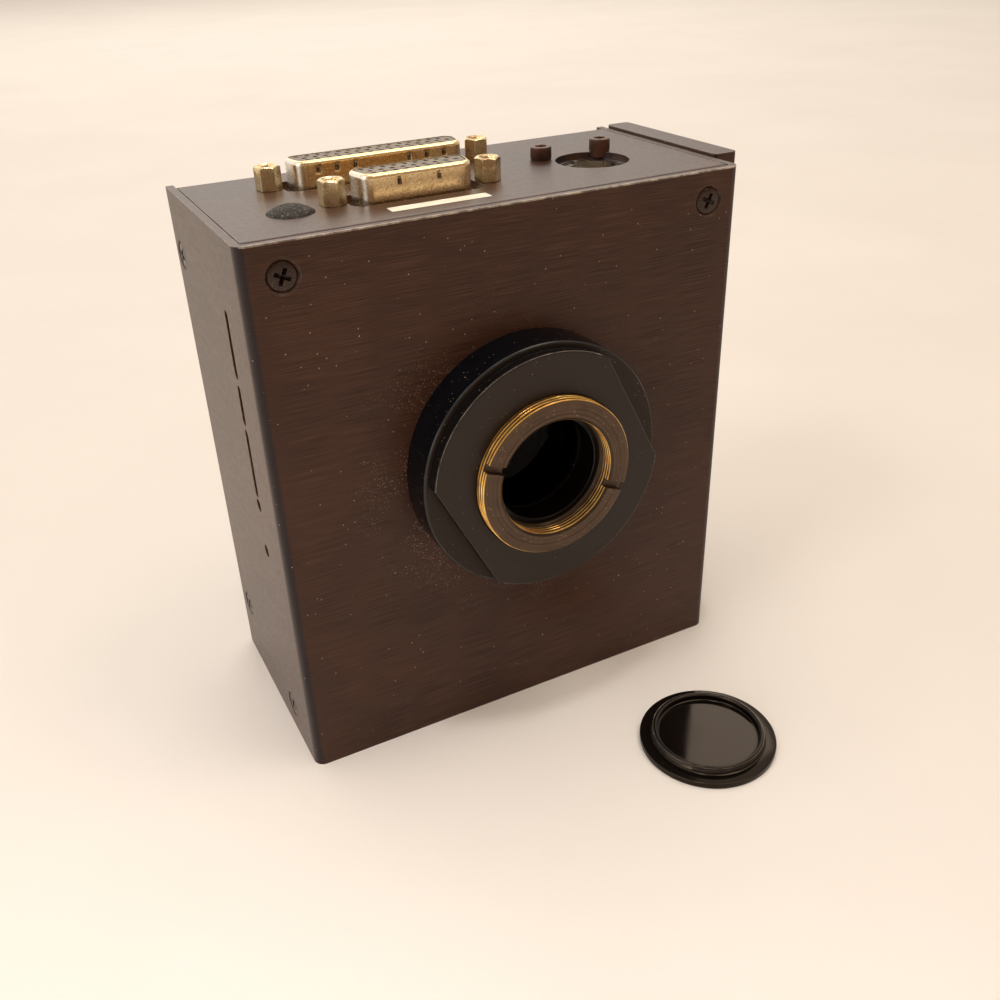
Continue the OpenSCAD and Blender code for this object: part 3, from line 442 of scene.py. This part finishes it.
MATERIALS = {
    "black_anodised": black_anodised(),
    "gloss_anodised": turned_black(
        "gloss_anodised", LENS, 1, (0.0018, 0.0024, 0.0036), rough=0.12, specks=0.10, level=0.20,
        end=(0.022, 0.0125, 0.0080)),
    "nut_anodised": turned_black(
        "nut_anodised", LENS, 1, (0.0035, 0.0032, 0.0034), rough=0.14, specks=0.13, level=0.30,
        end=(0.018, 0.0102, 0.0064)),
    "cap_plastic": turned_black(
        "cap_plastic", CAP, 2, (0.0030, 0.0022, 0.0017), rough=0.03, specks=0.015, level=0.25,
        tint=(1.0, 0.72, 0.52)),
    "bronze_ring": bronze_ring(),
    "gold_shell": plated(
        "gold_shell", (0.96, 0.76, 0.46), (0.93, 0.68, 0.36), end=(0.90, 0.86, 0.78), rough=0.22,
        scratch=0.001, tarnish=0.22, shaded_dimples=DIMPLES),
    "yellow_zinc": plated(
        "yellow_zinc", (0.88, 0.78, 0.50), (0.92, 0.70, 0.36), scratch=0.003, tarnish=0.85,
        stain_scale=330.0),
    "gold_contact": plated("gold_contact", (0.90, 0.68, 0.32), (0.84, 0.60, 0.26), rough=0.18),
    "nickel": plated(
        "nickel", (0.86, 0.84, 0.80), (0.78, 0.75, 0.71), rough=0.16, scratch=0.001, tarnish=0.1),
    "bright_steel": plated(
        "bright_steel", (0.56, 0.55, 0.54), (0.47, 0.46, 0.46), rough=0.28, scratch=0.01),
    "bare_aluminium": plated(
        "bare_aluminium", (0.78, 0.78, 0.79), (0.68, 0.68, 0.70), rough=0.34, scratch=0.02),
    "copper": plated("copper", (0.78, 0.36, 0.22), (0.66, 0.27, 0.15), rough=0.30, scratch=0.02),
    "silicon": plated("silicon", (0.05, 0.06, 0.10), (0.09, 0.06, 0.12), rough=0.10, scratch=0.0),
    "black_screw": grained(
        "black_screw", (0.022, 0.012, 0.008), (0.045, 0.023, 0.014), rough=0.20, metallic=0.4,
        scale=900.0, depth=0.01),
    "aged_screw": grained(
        "aged_screw", (0.036, 0.020, 0.014), (0.125, 0.045, 0.024), rough=0.32, metallic=0.45,
        scale=1100.0, depth=0.01, dust=0.06),
    "insert_plastic": grained(
        "insert_plastic", (0.15, 0.125, 0.10), (0.24, 0.20, 0.16), rough=0.50, scale=1600.0,
        depth=0.01, dust=0.25, Specular_Tint=(1.0, 0.84, 0.66)),
    "black_plastic": grained(
        "black_plastic", (0.012, 0.012, 0.013), (0.022, 0.021, 0.021), rough=0.35),
    "rubber_black": grained(
        "rubber_black", (0.012, 0.010, 0.008), (0.040, 0.032, 0.026), rough=0.50, scale=1200.0,
        depth=0.06, dust=0.65, Specular_IOR_Level=0.28),
    "pad_grey": grained(
        "pad_grey", (0.10, 0.10, 0.11), (0.15, 0.15, 0.16), rough=0.6, scale=500.0, depth=0.04),
    "ceramic_white": grained("ceramic_white", (0.78, 0.77, 0.73), (0.86, 0.85, 0.82), rough=0.45),
    "ceramic_brown": grained("ceramic_brown", (0.060, 0.035, 0.025), (0.085, 0.05, 0.035), rough=0.42),
    "cable_grey": grained(
        "cable_grey", (0.34, 0.34, 0.33), (0.42, 0.42, 0.40), rough=0.45, scale=300.0),
    "socket_plastic": grained(
        "socket_plastic", (0.075, 0.060, 0.048), (0.11, 0.09, 0.07), rough=0.40, scale=500.0,
        depth=0.003),
    "print_white": grained(
        "print_white", (0.88, 0.79, 0.64), (0.94, 0.86, 0.72), rough=0.50, scale=900.0, depth=0.004),
    "board_green": board_green(),
    "window_glass": window_glass(),
}

for cad in frame["nodes"].values():
    for holder in cad.material_slots:
        holder.material = MATERIALS[holder.material.name.split(".")[0]]
for holder in frame["nodes"]["lock_nut"].material_slots:
    holder.material = MATERIALS["nut_anodised"]


def soften(node, width):
    """Rounds a CAD node's edges by modifiers; its mesh stays as packed. width is in millimetres."""
    cad = frame["nodes"][node]
    weld = cad.modifiers.new("weld", "WELD")
    weld.merge_threshold = 0.002 * MM
    flat = cad.modifiers.new("flat", "DECIMATE")
    flat.decimate_type = "DISSOLVE"
    flat.angle_limit = math.radians(0.4)
    bevel = cad.modifiers.new("bevel", "BEVEL")
    bevel.width = width * MM
    bevel.segments = 2
    bevel.limit_method = "ANGLE"
    bevel.angle_limit = math.radians(SHARP)
    bevel.use_clamp_overlap = True
    cad.modifiers.new("normals", "WEIGHTED_NORMAL")


for node, width in {
    "case_cover": 0.18, "chassis": 0.2, "side_plate": 0.25, "mount_flange": 0.12, "lock_nut": 0.25,
    "socket_shell": 0.08, "socket_bracket": 0.2, "side_pad": 0.1,
}.items():
    soften(node, width)


# ---------- Mesh building ----------


def rounded(corners):
    """A path of (r, z) from corners given as (r, z) or (r, z, fillet)."""
    path = []
    for k, corner in enumerate(corners):
        r, z = corner[0], corner[1]
        fillet = corner[2] if len(corner) > 2 else 0.0
        if fillet == 0.0 or k in (0, len(corners) - 1):
            path.append((r, z))
            continue
        here = Vector((r, z))
        ahead = Vector(corners[k + 1][:2]) - here
        behind = Vector(corners[k - 1][:2]) - here
        start = here + behind.normalized() * min(fillet, behind.length * 0.45)
        end = here + ahead.normalized() * min(fillet, ahead.length * 0.45)
        for t in (0.0, 0.2, 0.4, 0.6, 0.8, 1.0):
            p = start * (1 - t) ** 2 + here * 2 * t * (1 - t) + end * t * t
            path.append((p.x, p.y))
    return path


def thread(turn, r, z0, z1, pitch, depth, fade=0.6):
    """Points down or up a screw thread at one angle; depth is the groove's, inward if positive."""
    rows = max(6, round(abs(z1 - z0) / pitch * 12))
    points = []
    for k in range(rows + 1):
        z = z0 + (z1 - z0) * k / rows
        wave = abs(((z / pitch - turn / TAU) % 1.0) * 2 - 1)
        wave = min(1.0, max(0.0, (wave - 0.1) / 0.8))
        near_end = min(abs(z - z0), abs(z - z1)) / (fade * pitch)
        points.append((r - depth * wave * min(1.0, near_end), z))
    return points


def skin(bm, rings, closed=True):
    """Faces from each ring of vertices to the next, and from the last ring to the first."""
    for k, here in enumerate(rings):
        there = rings[(k + 1) % len(rings)]
        for j in range(len(here) if closed else len(here) - 1):
            beyond = (j + 1) % len(here)
            bm.faces.new((here[j], there[j], there[beyond], here[beyond]))


def spun(loop_at, steps, closed=False):
    """A solid swept once round +Z. loop_at(turn) gives its (r, z) points at that angle."""
    bm = bmesh.new()
    rings = []
    for k in range(steps):
        turn = TAU * k / steps
        across, along = math.cos(turn), math.sin(turn)
        rings.append([bm.verts.new((r * across, r * along, z)) for r, z in loop_at(turn)])
    skin(bm, rings, closed)
    bmesh.ops.remove_doubles(bm, verts=bm.verts, dist=1e-5)
    bmesh.ops.recalc_face_normals(bm, faces=bm.faces)
    return bm


def prism(outline, low, high):
    """An upright solid on a flat outline."""
    bm = bmesh.new()
    bottom, top = [[bm.verts.new((*spot, z)) for spot in outline] for z in (low, high)]
    for k in range(len(outline)):
        beyond = (k + 1) % len(outline)
        bm.faces.new((bottom[k], bottom[beyond], top[beyond], top[k]))
    bm.faces.new(list(reversed(bottom)))
    bm.faces.new(top)
    return bm


def block(low, high, corner=0.0, segments=4):
    """A box, its upright edges rounded if a corner radius is given."""
    bm = bmesh.new()
    low, high = Vector(low), Vector(high)
    bmesh.ops.create_cube(bm, size=1.0)
    bmesh.ops.scale(bm, vec=high - low, verts=bm.verts)
    bmesh.ops.translate(bm, vec=(high + low) / 2, verts=bm.verts)
    if corner:
        upright = [e for e in bm.edges if abs(e.verts[0].co.z - e.verts[1].co.z) > 0.01]
        bmesh.ops.bevel(bm, geom=upright, offset=corner, segments=segments, profile=0.5,
                        affect="EDGES")
    return bm


def scratch(bm):
    """A passing object made of a solid, which it uses up."""
    mesh = bpy.data.meshes.new("scratch")
    bm.to_mesh(mesh)
    bm.free()
    obj = bpy.data.objects.new("scratch", mesh)
    bpy.context.scene.collection.objects.link(obj)
    return obj


def carved(bm, *tools):
    """The solid bm less each tool. All of them are used up."""
    made = [scratch(b) for b in (bm, *tools)]
    for tool in made[1:]:
        cutter = made[0].modifiers.new("cut", "BOOLEAN")
        cutter.operation = "DIFFERENCE"
        cutter.solver = "EXACT"
        cutter.object = tool
    result = bmesh.new()
    result.from_object(made[0], bpy.context.evaluated_depsgraph_get())
    for obj in made:
        mesh = obj.data
        bpy.data.objects.remove(obj)
        bpy.data.meshes.remove(mesh)
    return result


def placed(*parts):
    """One solid in metres from pairs of a solid in millimetres, which stays usable, and a place."""
    whole = bmesh.new()
    for bm, place in parts:
        mesh = bpy.data.meshes.new("part")
        bm.to_mesh(mesh)
        mesh.transform(place @ Matrix.Scale(MM, 4))
        whole.from_mesh(mesh)
        bpy.data.meshes.remove(mesh)
    return whole


def piece(name, bm, slot, body, *nodes, sharp=SHARP, look=None):
    """A finished piece in metres: smooth shaded, riding on a body and standing for CAD nodes.

    look names the material, where it is not the slot's own.
    """
    mesh = bpy.data.meshes.new(name)
    bm.to_mesh(mesh)
    bm.free()
    mesh.materials.append(MATERIALS[look or slot])
    mesh.shade_smooth()
    mesh.set_sharp_from_angle(angle=math.radians(sharp))
    obj = bpy.data.objects.new(name, mesh)
    bpy.context.scene.collection.objects.link(obj)
    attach(obj, body)
    if nodes:
        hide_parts(*nodes)


def hexagon(turn, flats):
    """Radius of a hexagon at an angle, its corners just rounded; flats is its width across flats."""
    inside = (turn % (TAU / 6)) - TAU / 12
    corner = flats / 2 / math.cos(TAU / 12)
    return min(flats / 2 / math.cos(inside), corner * 0.985)


def cross_recess(turn, length, width, core):
    """Radius of a cross recess at an angle. length and width are half an arm's; core is a radius."""
    inside = (turn % (TAU / 4)) - TAU / 8
    off = TAU / 8 - abs(inside)
    arm = min(length / math.cos(off), width / max(1e-6, math.sin(off)))
    return max(arm, core)


# ---------- Lens port ----------

LENS_PLACE = Matrix.Translation(LENS) @ Matrix.Rotation(math.radians(90), 4, "X")
# The C-mount thread has 32 turns to the inch. The ring's outer thread is drawn coarser than it
# would be, so that its turns still show from a distance.
PITCH = 25.4 / 32
OUTER_PITCH = 0.95
SLOT_ANGLE = math.radians(-21.9)
SLOT_WIDTH = 1.75
SLOT_DEPTH = 1.5


def lens_ring():
    """The lens ring: threads outside and inside, a stepped bore, a groove and two spanner slots."""
    bore = 11.4
    thread_end = RING_FRONT - 4.5

    def loop(turn):
        outside = thread(turn, RING_R - 0.02, RING_BACK + 0.4, RING_FRONT - 0.3, OUTER_PITCH, 0.5)
        inside = thread(turn, THREAD_R + 0.02, RING_FRONT - 0.55, thread_end + 0.1, PITCH, -0.40)
        face = [(RING_R - 0.28, RING_FRONT - 0.05), (RING_R - 0.5, RING_FRONT),
                (15.2, RING_FRONT), (15.1, RING_FRONT - 0.06),
                (14.2, RING_FRONT - 0.06), (14.1, RING_FRONT),
                (THREAD_R + 0.62, RING_FRONT), (THREAD_R + 0.45, RING_FRONT - 0.1)]
        back = [(THREAD_R, thread_end), (bore + 0.15, thread_end), (bore, thread_end - 0.15),
                (bore, RING_BACK), (RING_R - 0.4, RING_BACK)]
        return outside + face + inside + back

    slot = block((-RING_R - 1, -SLOT_WIDTH / 2, RING_FRONT - SLOT_DEPTH),
                 (RING_R + 1, SLOT_WIDTH / 2, RING_FRONT + 1))
    slot.transform(Matrix.Rotation(SLOT_ANGLE, 4, "Z"))
    return carved(spun(loop, 180, closed=True), slot)


piece("lens_ring_threaded", placed((lens_ring(), LENS_PLACE)), "bronze_ring", "lens_ring",
      "c_mount_ring", sharp=28)


# ---------- Screws ----------


def flat_screw(length):
    """Countersunk cross-recess screw; local z = 0 is the sheet's face."""
    top, rim, seat = -0.12, 2.88, -1.6
    shank, end = seat - 0.5, -length

    def loop(turn):
        head = rounded([(0, top + 0.10), (1.9, top + 0.05), (2.55, top - 0.06, 0.2),
                        (rim, top - 0.42, 0.15), (1.45, seat, 0.1), (1.45, shank)])
        return head + thread(turn, 1.47, shank, end, 0.5, 0.25) + [(0, end - 0.2)]

    def recess(turn):
        turn += math.radians(25)
        mouth = cross_recess(turn, 1.9, 0.46, 0.8)
        wall = cross_recess(turn, 1.62, 0.40, 0.62)
        bottom = cross_recess(turn, 1.05, 0.33, 0.45)
        return [(0, 1), (mouth, 1), (wall, top), (bottom, top - 1.1), (0.3, top - 1.5),
                (0, top - 1.6)]

    return carved(spun(loop, 72), spun(recess, 144))


def cap_screw(r, h, shank_r, length, ribs, shoulder=0.0):
    """Socket-head screw with a knurled side, its head standing on local z = 0.

    A shoulder is how far the head goes on below that.
    """
    hex_flats = r * 0.97

    def loop(turn):
        rib = r - 0.07 * (0.5 - 0.5 * math.cos(turn * ribs))
        head = [(0, h), (r - 0.75, h), (r - 0.35, h - 0.02), (r - 0.12, h - 0.12),
                (r - 0.06, h - 0.3), (rib, h - 0.42), (rib, 0.35), (r - 0.08, 0.22),
                (r - 0.1, -shoulder), (shank_r, -shoulder)]
        shank = thread(turn, shank_r, -0.1 - shoulder, -length, 0.6, 0.22)
        return head + shank + [(0, -length - 0.15)]

    def socket(turn):
        mouth, wall = hexagon(turn, hex_flats + 0.3), hexagon(turn, hex_flats)
        return [(0, h + 1), (mouth, h + 1), (mouth, h), (wall, h - 0.16), (wall, h * 0.45),
                (0, h * 0.35)]

    return carved(spun(loop, ribs * 6), spun(socket, 144))


def islands(node):
    """The box of each separate solid of a CAD node, as its low and high corner, from the left."""
    mesh = frame["nodes"][node].data
    bm = bmesh.new()
    bm.from_mesh(mesh)
    bmesh.ops.remove_doubles(bm, verts=bm.verts, dist=1e-6)
    left = set(bm.verts)
    found = []
    while left:
        heap = [left.pop()]
        group = []
        while heap:
            vert = heap.pop()
            group.append(vert.co.copy())
            for edge in vert.link_edges:
                other = edge.other_vert(vert)
                if other in left:
                    left.remove(other)
                    heap.append(other)
        low = Vector(min(co[k] for co in group) for k in range(3))
        high = Vector(max(co[k] for co in group) for k in range(3))
        found.append((low, high))
    bm.free()
    return sorted(found, key=lambda pair: tuple(pair[0]))


def on_face(low, high, side):
    """A place on one side of the case in front of a box; its local +Z points out of the case."""
    x, y, z = (low + high) / 2
    spot, degrees, axis = {
        "-y": ((x, FRONT, z), 90, "X"),
        "+y": ((x, REAR, z), -90, "X"),
        "-x": ((case_low.x, y, z), -90, "Y"),
        "+x": ((case_high.x, y, z), 90, "Y"),
        "+z": ((x, y, TOP), 0, "Z"),
    }[side]
    return Matrix.Translation(spot) @ Matrix.Rotation(math.radians(degrees), 4, axis)


def screws_on(name, node, screw, side_at):
    """A piece with a screw for each solid of a CAD node; side_at(x) is the side that one is on."""
    places = [on_face(low, high, side_at((low.x + high.x) / 2)) for low, high in islands(node)]
    piece(name, placed(*[(screw, place) for place in places]), "black_screw", "case", node)


screws_on("front_screws_cross", "front_screws", flat_screw(6.5), lambda x: "-y")
screws_on("side_screws_cross", "side_screws", flat_screw(6.5), lambda x: "-x" if x < 0 else "+x")
screws_on("rear_screws_cross", "rear_screws", flat_screw(5.4), lambda x: "+y")

# The left socket screw stands on the top; the right one overhangs the socket's opening
socket_places = [on_face(low, high, "+z") for low, high in islands("socket_screws")]
socket_heads = [cap_screw(2.33, 2.85, 1.42, 5.0, 30, shoulder) for shoulder in (0.0, 1.0)]
piece("socket_screws_knurled", placed(*zip(socket_heads, socket_places)), "black_screw", "case",
      "socket_screws", look="aged_screw")

# How far the side plate's screws are sunk in it, in millimetres
PLATE_SINK = 3.2
plate_places = [
    Matrix.Translation((SIDE - PLATE_SINK * MM, (low.y + high.y) / 2, (low.z + high.z) / 2))
    @ Matrix.Rotation(math.radians(90), 4, "Y")
    for low, high in islands("side_plate_screws")
]
plate_screw = cap_screw(2.75, 3.0, 1.5, 8.0, 32)
piece("side_plate_screws_knurled", placed(*[(plate_screw, place) for place in plate_places]),
      "black_screw", "case", "side_plate_screws")


# ---------- Ports on top ----------

FLANGE_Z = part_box("data_shell")[0].z
# A shell's height above the case's top and its flange's depth below it, in millimetres
RISE = (SHELL_TOP - TOP) / MM
DEEP = (TOP - FLANGE_Z) / MM
# Corner radius of a shell, and the slope of its short sides
CORNER = 2.6
LEAN = math.tan(math.radians(10))
# How far from a jackscrew's or port's middle something still belongs to it
NEAR_JACK = 4 * MM


def d_path(length):
    """Points and outward directions round a D-sub shell, its wide side towards +Y, 0.3 mm apart."""
    half_y = WALL_H / 2 - CORNER
    wide = length / 2 - CORNER
    narrow = wide - 2 * half_y * LEAN
    slope = math.atan(LEAN)
    # Each corner's centre, and the angles its arc runs between
    corners = [
        ((wide, half_y), -slope, TAU / 4),
        ((-wide, half_y), TAU / 4, TAU / 2 + slope),
        ((-narrow, -half_y), TAU / 2 + slope, TAU * 0.75),
        ((narrow, -half_y), TAU * 0.75, TAU - slope),
    ]
    steps = 12
    path = []
    for k, (centre, a0, a1) in enumerate(corners):
        for j in range(steps + 1):
            a = a0 + (a1 - a0) * j / steps
            out = Vector((math.cos(a), math.sin(a)))
            path.append((Vector(centre) + out * CORNER, out))
        start, out = path[-1]
        end = Vector(corners[(k + 1) % 4][0]) + out * CORNER
        pieces = int((end - start).length / 0.3)
        path += [(start.lerp(end, j / pieces), out) for j in range(1, pieces)]
    return path


def smooth(t):
    t = min(1.0, max(0.0, t))
    return t * t * (3 - 2 * t)


def dimple(x, y, z, places, top):
    """How far a grounding dimple presses the wall in at a point of its long sides."""
    if abs(y) < WALL_H / 2 - 0.8:
        return 0.0
    depth = 0.0
    for place in places:
        beside = 1 - smooth((abs(x - place) - 0.12) / 0.34)
        above = smooth((top - 0.85 - z) / 0.45)
        below = 1 - smooth((top - 2.35 - z) / 0.35)
        depth = max(depth, 0.42 * beside * above * below)
    return depth


def d_shell(length, flange, screws, places):
    """A drawn shell's two solids: a wall with a foot, dimples and a lip, and a flange plate."""
    path = d_path(length)
    plate, sheet, lip, foot_r, steps, rows = 0.8, 0.4, 0.8, 0.9, 6, 26
    foot = plate - DEEP
    quarter = [TAU / 4 * k / steps for k in range(steps + 1)]
    start, end = foot + foot_r, RISE - lip
    outer = [(foot_r * (1 - math.sin(a)), foot + foot_r * (1 - math.cos(a))) for a in quarter]
    outer += [(0.0, start + (end - start) * k / rows) for k in range(1, rows)]
    outer += [(-lip * (1 - math.cos(a)), end + lip * math.sin(a)) for a in quarter]
    inner = [(-lip, RISE - 0.14), (0.12 - lip, RISE - 0.35), (-sheet, RISE - 1.0),
             (-sheet, foot - plate + 0.1), (foot_r, foot - plate + 0.1)]
    wall = bmesh.new()
    columns = []
    for spot, out in path:
        column = []
        for k, (push, z) in enumerate(outer + inner):
            here = spot + out * push
            press = dimple(here.x, here.y, z, places, RISE) if k < len(outer) else 0.0
            column.append(wall.verts.new((*(spot + out * (push - press)), z)))
        columns.append(column)
    skin(wall, columns)
    bmesh.ops.recalc_face_normals(wall, faces=wall.faces)

    def hole(turn):
        return [(0, foot + 2), (1.6, foot + 2), (1.6, foot - 3), (0, foot - 3)]

    tools = [prism([spot - out * 0.3 for spot, out in path], foot - 3, foot + 3)]
    for side in (-1, 1):
        tools.append(spun(hole, 48))
        bmesh.ops.translate(tools[-1], vec=(side * screws / 2, 0, 0), verts=tools[-1].verts)
    half_width = 6.25
    flange_plate = block((-flange / 2, -half_width, foot - plate), (flange / 2, half_width, foot),
                         1.5, 6)
    return wall, carved(flange_plate, *tools)


jack_boxes = islands("jackscrews")


def jack_spacing(y):
    """Distance in millimetres between the two jackscrews of the port at a y."""
    row = [(low.x + high.x) / 2 for low, high in jack_boxes
           if abs((low.y + high.y) / 2 - y) < NEAR_JACK]
    return (max(row) - min(row)) / MM


for node, (length, flange, dimple_places) in PORTS.items():
    spot = middle(node)
    place = Matrix.Translation((spot.x, spot.y, TOP))
    shell = d_shell(length, flange, jack_spacing(spot.y), dimple_places)
    piece(node + "_drawn", placed(*[(part, place) for part in shell]), "gold_shell", "case", node,
          sharp=50)


def jackscrew():
    """Hexagonal jackscrew: corners chamfered by a cone, tapped from the top."""
    flats, high, bore = 4.76, 4.8, 1.42
    chamfer = math.tan(math.radians(30))

    def loop(turn):
        r = hexagon(turn, flats)
        edge = high - max(0.0, r - flats / 2 + 0.12) * chamfer
        outside = [(0.9, -2.6), (bore, -2.2), (bore, 0), (r - 0.12, 0), (r, 0.12), (r, edge * 0.5),
                   (r, edge - 0.06), (r - 0.06, edge), (flats / 2 - 0.12, high),
                   (bore + 0.32, high), (bore + 0.1, high - 0.25)]
        inside = [(max(r, bore - 0.22), z)
                  for r, z in thread(turn, bore, high - 0.3, high - 4.1, 0.635, 0.22)]
        return outside + inside + [(0, high - 4.4)]

    return spun(loop, 144)


def jack_turns():
    """Each jackscrew's place and how far it is turned, from the direction of its widest corner."""
    turned = []
    mesh = frame["nodes"]["jackscrews"].data
    for low, high in jack_boxes:
        centre = (low + high) / 2
        ring = [v.co - centre for v in mesh.vertices
                if abs(v.co.z - TOP) < 1e-5 and (v.co - centre).xy.length < NEAR_JACK]
        far = max(ring, key=lambda co: co.xy.length)
        turned.append(Matrix.Translation((centre.x, centre.y, TOP))
                      @ Matrix.Rotation(math.atan2(far.y, far.x), 4, "Z"))
    return turned


screw = jackscrew()
piece("jackscrews_turned", placed(*[(screw, place) for place in jack_turns()]), "gold_shell", "case",
      "jackscrews", sharp=30, look="yellow_zinc")


def rubber_dome():
    """Rubber plug: a low dome with a crumbly skin and a rounded rim, on a grooved stem."""
    r, rise, droop, rows = 4.6, 1.62, 0.32, 44
    big = (r * r + rise * rise) / (2 * rise)
    stem = [(r - 0.2, -0.02), (3.0, -0.02), (3.0, -1.6), (3.6, -1.7), (3.5, -3.1), (0, -3.1)]

    def loop(turn):
        points = []
        for k in range(rows + 1):
            reach = r * k / rows
            z = math.sqrt(big * big - reach * reach) - big + rise
            z = max(z, 0.0) + droop * smooth((r - reach) / 0.6) - droop
            spot = Vector((reach * math.cos(turn), reach * math.sin(turn), z))
            crumb = noise.noise(spot * 2.6) * 0.4 + noise.noise(spot * 7.0) * 0.6
            z += 0.16 * crumb * smooth((r - reach) / 0.4) * smooth(reach / 0.3)
            points.append((reach, max(0.0, z)))
        return points + stem

    return spun(loop, 160)


piece("port_plug_rubber", placed((rubber_dome(), Matrix.Translation(PLUG))), "rubber_black", "case",
      "port_plug", sharp=60)

# A blank printed bar in front of the ports, measured from the middle of the top's front edge
label_bar = block((-21.9, 6.9, 0.0), (-1.1, 10.0, 0.02), 0.25)
label_place = Matrix.Translation((0, FRONT, TOP + 0.002 * MM))
piece("label_bar", placed((label_bar, label_place)), "ceramic_white", "case", look="print_white")


# ---------- Dust cap ----------


def dust_cap():
    """Threaded dust cap lying on its back: a thin flange, a threaded boss and a shallow well."""
    r, thick, boss, tall, well, floor_z = 15.4, 1.4, 12.58, 3.4, 11.5, 1.75

    def loop(turn):
        flange = rounded([(0, 0.12), (13.4, 0.12, 0.05), (13.7, 0, 0.1), (r, 0, 0.2),
                          (r, thick, 0.22), (boss + 0.3, thick, 0.2), (boss + 0.05, thick + 0.15)])
        side = thread(turn, boss, thick + 0.25, tall - 0.3, PITCH, 0.36)
        rim = rounded([(boss - 0.02, tall - 0.3), (boss - 0.3, tall, 0.15),
                       (well + 0.35, tall, 0.25), (well, tall - 0.4, 0.15),
                       (well, floor_z + 0.1, 0.25), (well - 0.5, floor_z, 0.3), (0, floor_z)])
        return flange + side + rim

    return spun(loop, 200)


piece("dust_cap_turned", placed((dust_cap(), Matrix.Translation(CAP))), "cap_plastic", "dust_cap",
      "dust_cap", sharp=32)


# ---------- Stage, light and camera ----------

# Directions of the dark card's right and left edge, from +Y towards +X, and its height
CARD_EDGES = math.radians(40), math.radians(-5)
CARD_LOW, CARD_HIGH = 0.55, 0.80


def floor():
    bm = bmesh.new()
    bmesh.ops.create_grid(bm, x_segments=8, y_segments=8, size=4.0)
    mesh = bpy.data.meshes.new("floor")
    bm.to_mesh(mesh)
    bm.free()
    g = Graph("floor")
    cloud = g.noise(g.point, 7.0, 4.0, 0.6)
    tone = g.mix(g.remap(cloud, 0.3, 0.7), (0.755, 0.705, 0.66), (0.795, 0.745, 0.70))
    grain = g.bump(g.noise(g.point, 500.0, 4.0), 0.02 * MM)
    mesh.materials.append(g.surface(tone, 0.55, 0.0, grain))
    obj = bpy.data.objects.new("floor", mesh)
    bpy.context.scene.collection.objects.link(obj)


def sky():
    """Pale room, dim and warm in front of the lens and low on the right, with a dark card above."""
    g = Graph("studio", world=True)
    bpy.context.scene.world = g.owner
    x, y, z = g.parts(g.point)
    turn = g.math("ARCTAN2", x, y)
    colour = g.mix(g.remap(z, 0.25, 0.7), (1.12, 1.05, 0.94), (1.0, 0.90, 0.79))
    aside = g.math("MULTIPLY", g.remap(turn, 0.30, 0.85, 0.0, 0.55), g.fall(z, 0.45, 0.75))
    colour = g.mix(aside, colour, (0.30, 0.22, 0.16))
    colour = g.mix(g.remap(y, -0.6, 0.15), (0.36, 0.27, 0.20), colour)
    right, left = CARD_EDGES
    card = g.math("MULTIPLY", g.math("LESS_THAN", turn, right), g.math("GREATER_THAN", turn, left),
                  g.math("GREATER_THAN", z, CARD_LOW), g.math("LESS_THAN", z, CARD_HIGH))
    colour = g.mix(card, colour, (0.10, 0.08, 0.06))
    background = g.add("ShaderNodeBackground", Color=colour, Strength=1.0)
    g.feed(g.output.inputs["Surface"], background.outputs[0])


def softbox(name, place, aim, size, power, colour, spread=180):
    """An area light of a size in metres and a power in watts, aimed at a point."""
    light = bpy.data.lights.new(name, "AREA")
    light.spread = math.radians(spread)
    light.shape = "RECTANGLE"
    light.size, light.size_y = size
    light.energy = power
    light.color = colour
    obj = bpy.data.objects.new(name, light)
    obj.location = place
    obj.rotation_euler = (Vector(aim) - Vector(place)).to_track_quat("-Z", "Y").to_euler()
    bpy.context.scene.collection.objects.link(obj)


floor()
sky()
softbox("key", (-0.75, -0.19, 0.98), (0, 0, 0.06), (0.30, 0.30), 2.2, (1.0, 0.94, 0.86))
softbox("top", (0.42, -0.30, 1.18), (0, 0, 0.06), (0.55, 0.55), 4.2, (1.0, 0.88, 0.72))
softbox("near", (-0.09, -0.13, 0.80), (-0.09, -0.13, 0), (0.12, 0.08), 0.075, (1.0, 0.98, 0.96), 30)
softbox("left", (-1.1, -0.35, 0.30), (0, 0, 0.10), (0.6, 0.4), 2.0, (0.96, 0.97, 1.0))
softbox("back", (0.5, 1.6, 1.3), (0.4, 1.2, 0), (1.8, 1.0), 14.0, (1.0, 0.94, 0.86))

# The photograph's view, in millimetres, and its roll in degrees
PLACE = Vector((-91.7, -199.4, 167.5)) * MM
AIM = Vector((-5.3, -26.85, 55.5)) * MM
ROLL = -2.09
camera = bpy.data.cameras.new("camera")
camera.lens = 36.94
camera.sensor_width = 36.0
camera.clip_start = 0.01
shot = bpy.data.objects.new("camera", camera)
shot.location = PLACE
look = (AIM - PLACE).to_track_quat("-Z", "Y")
roll = Matrix.Rotation(math.radians(ROLL), 3, "Z").to_quaternion()
shot.rotation_euler = (look @ roll).to_euler()
bpy.context.scene.collection.objects.link(shot)
bpy.context.scene.camera = shot
bpy.context.scene.view_settings.view_transform = "Standard"
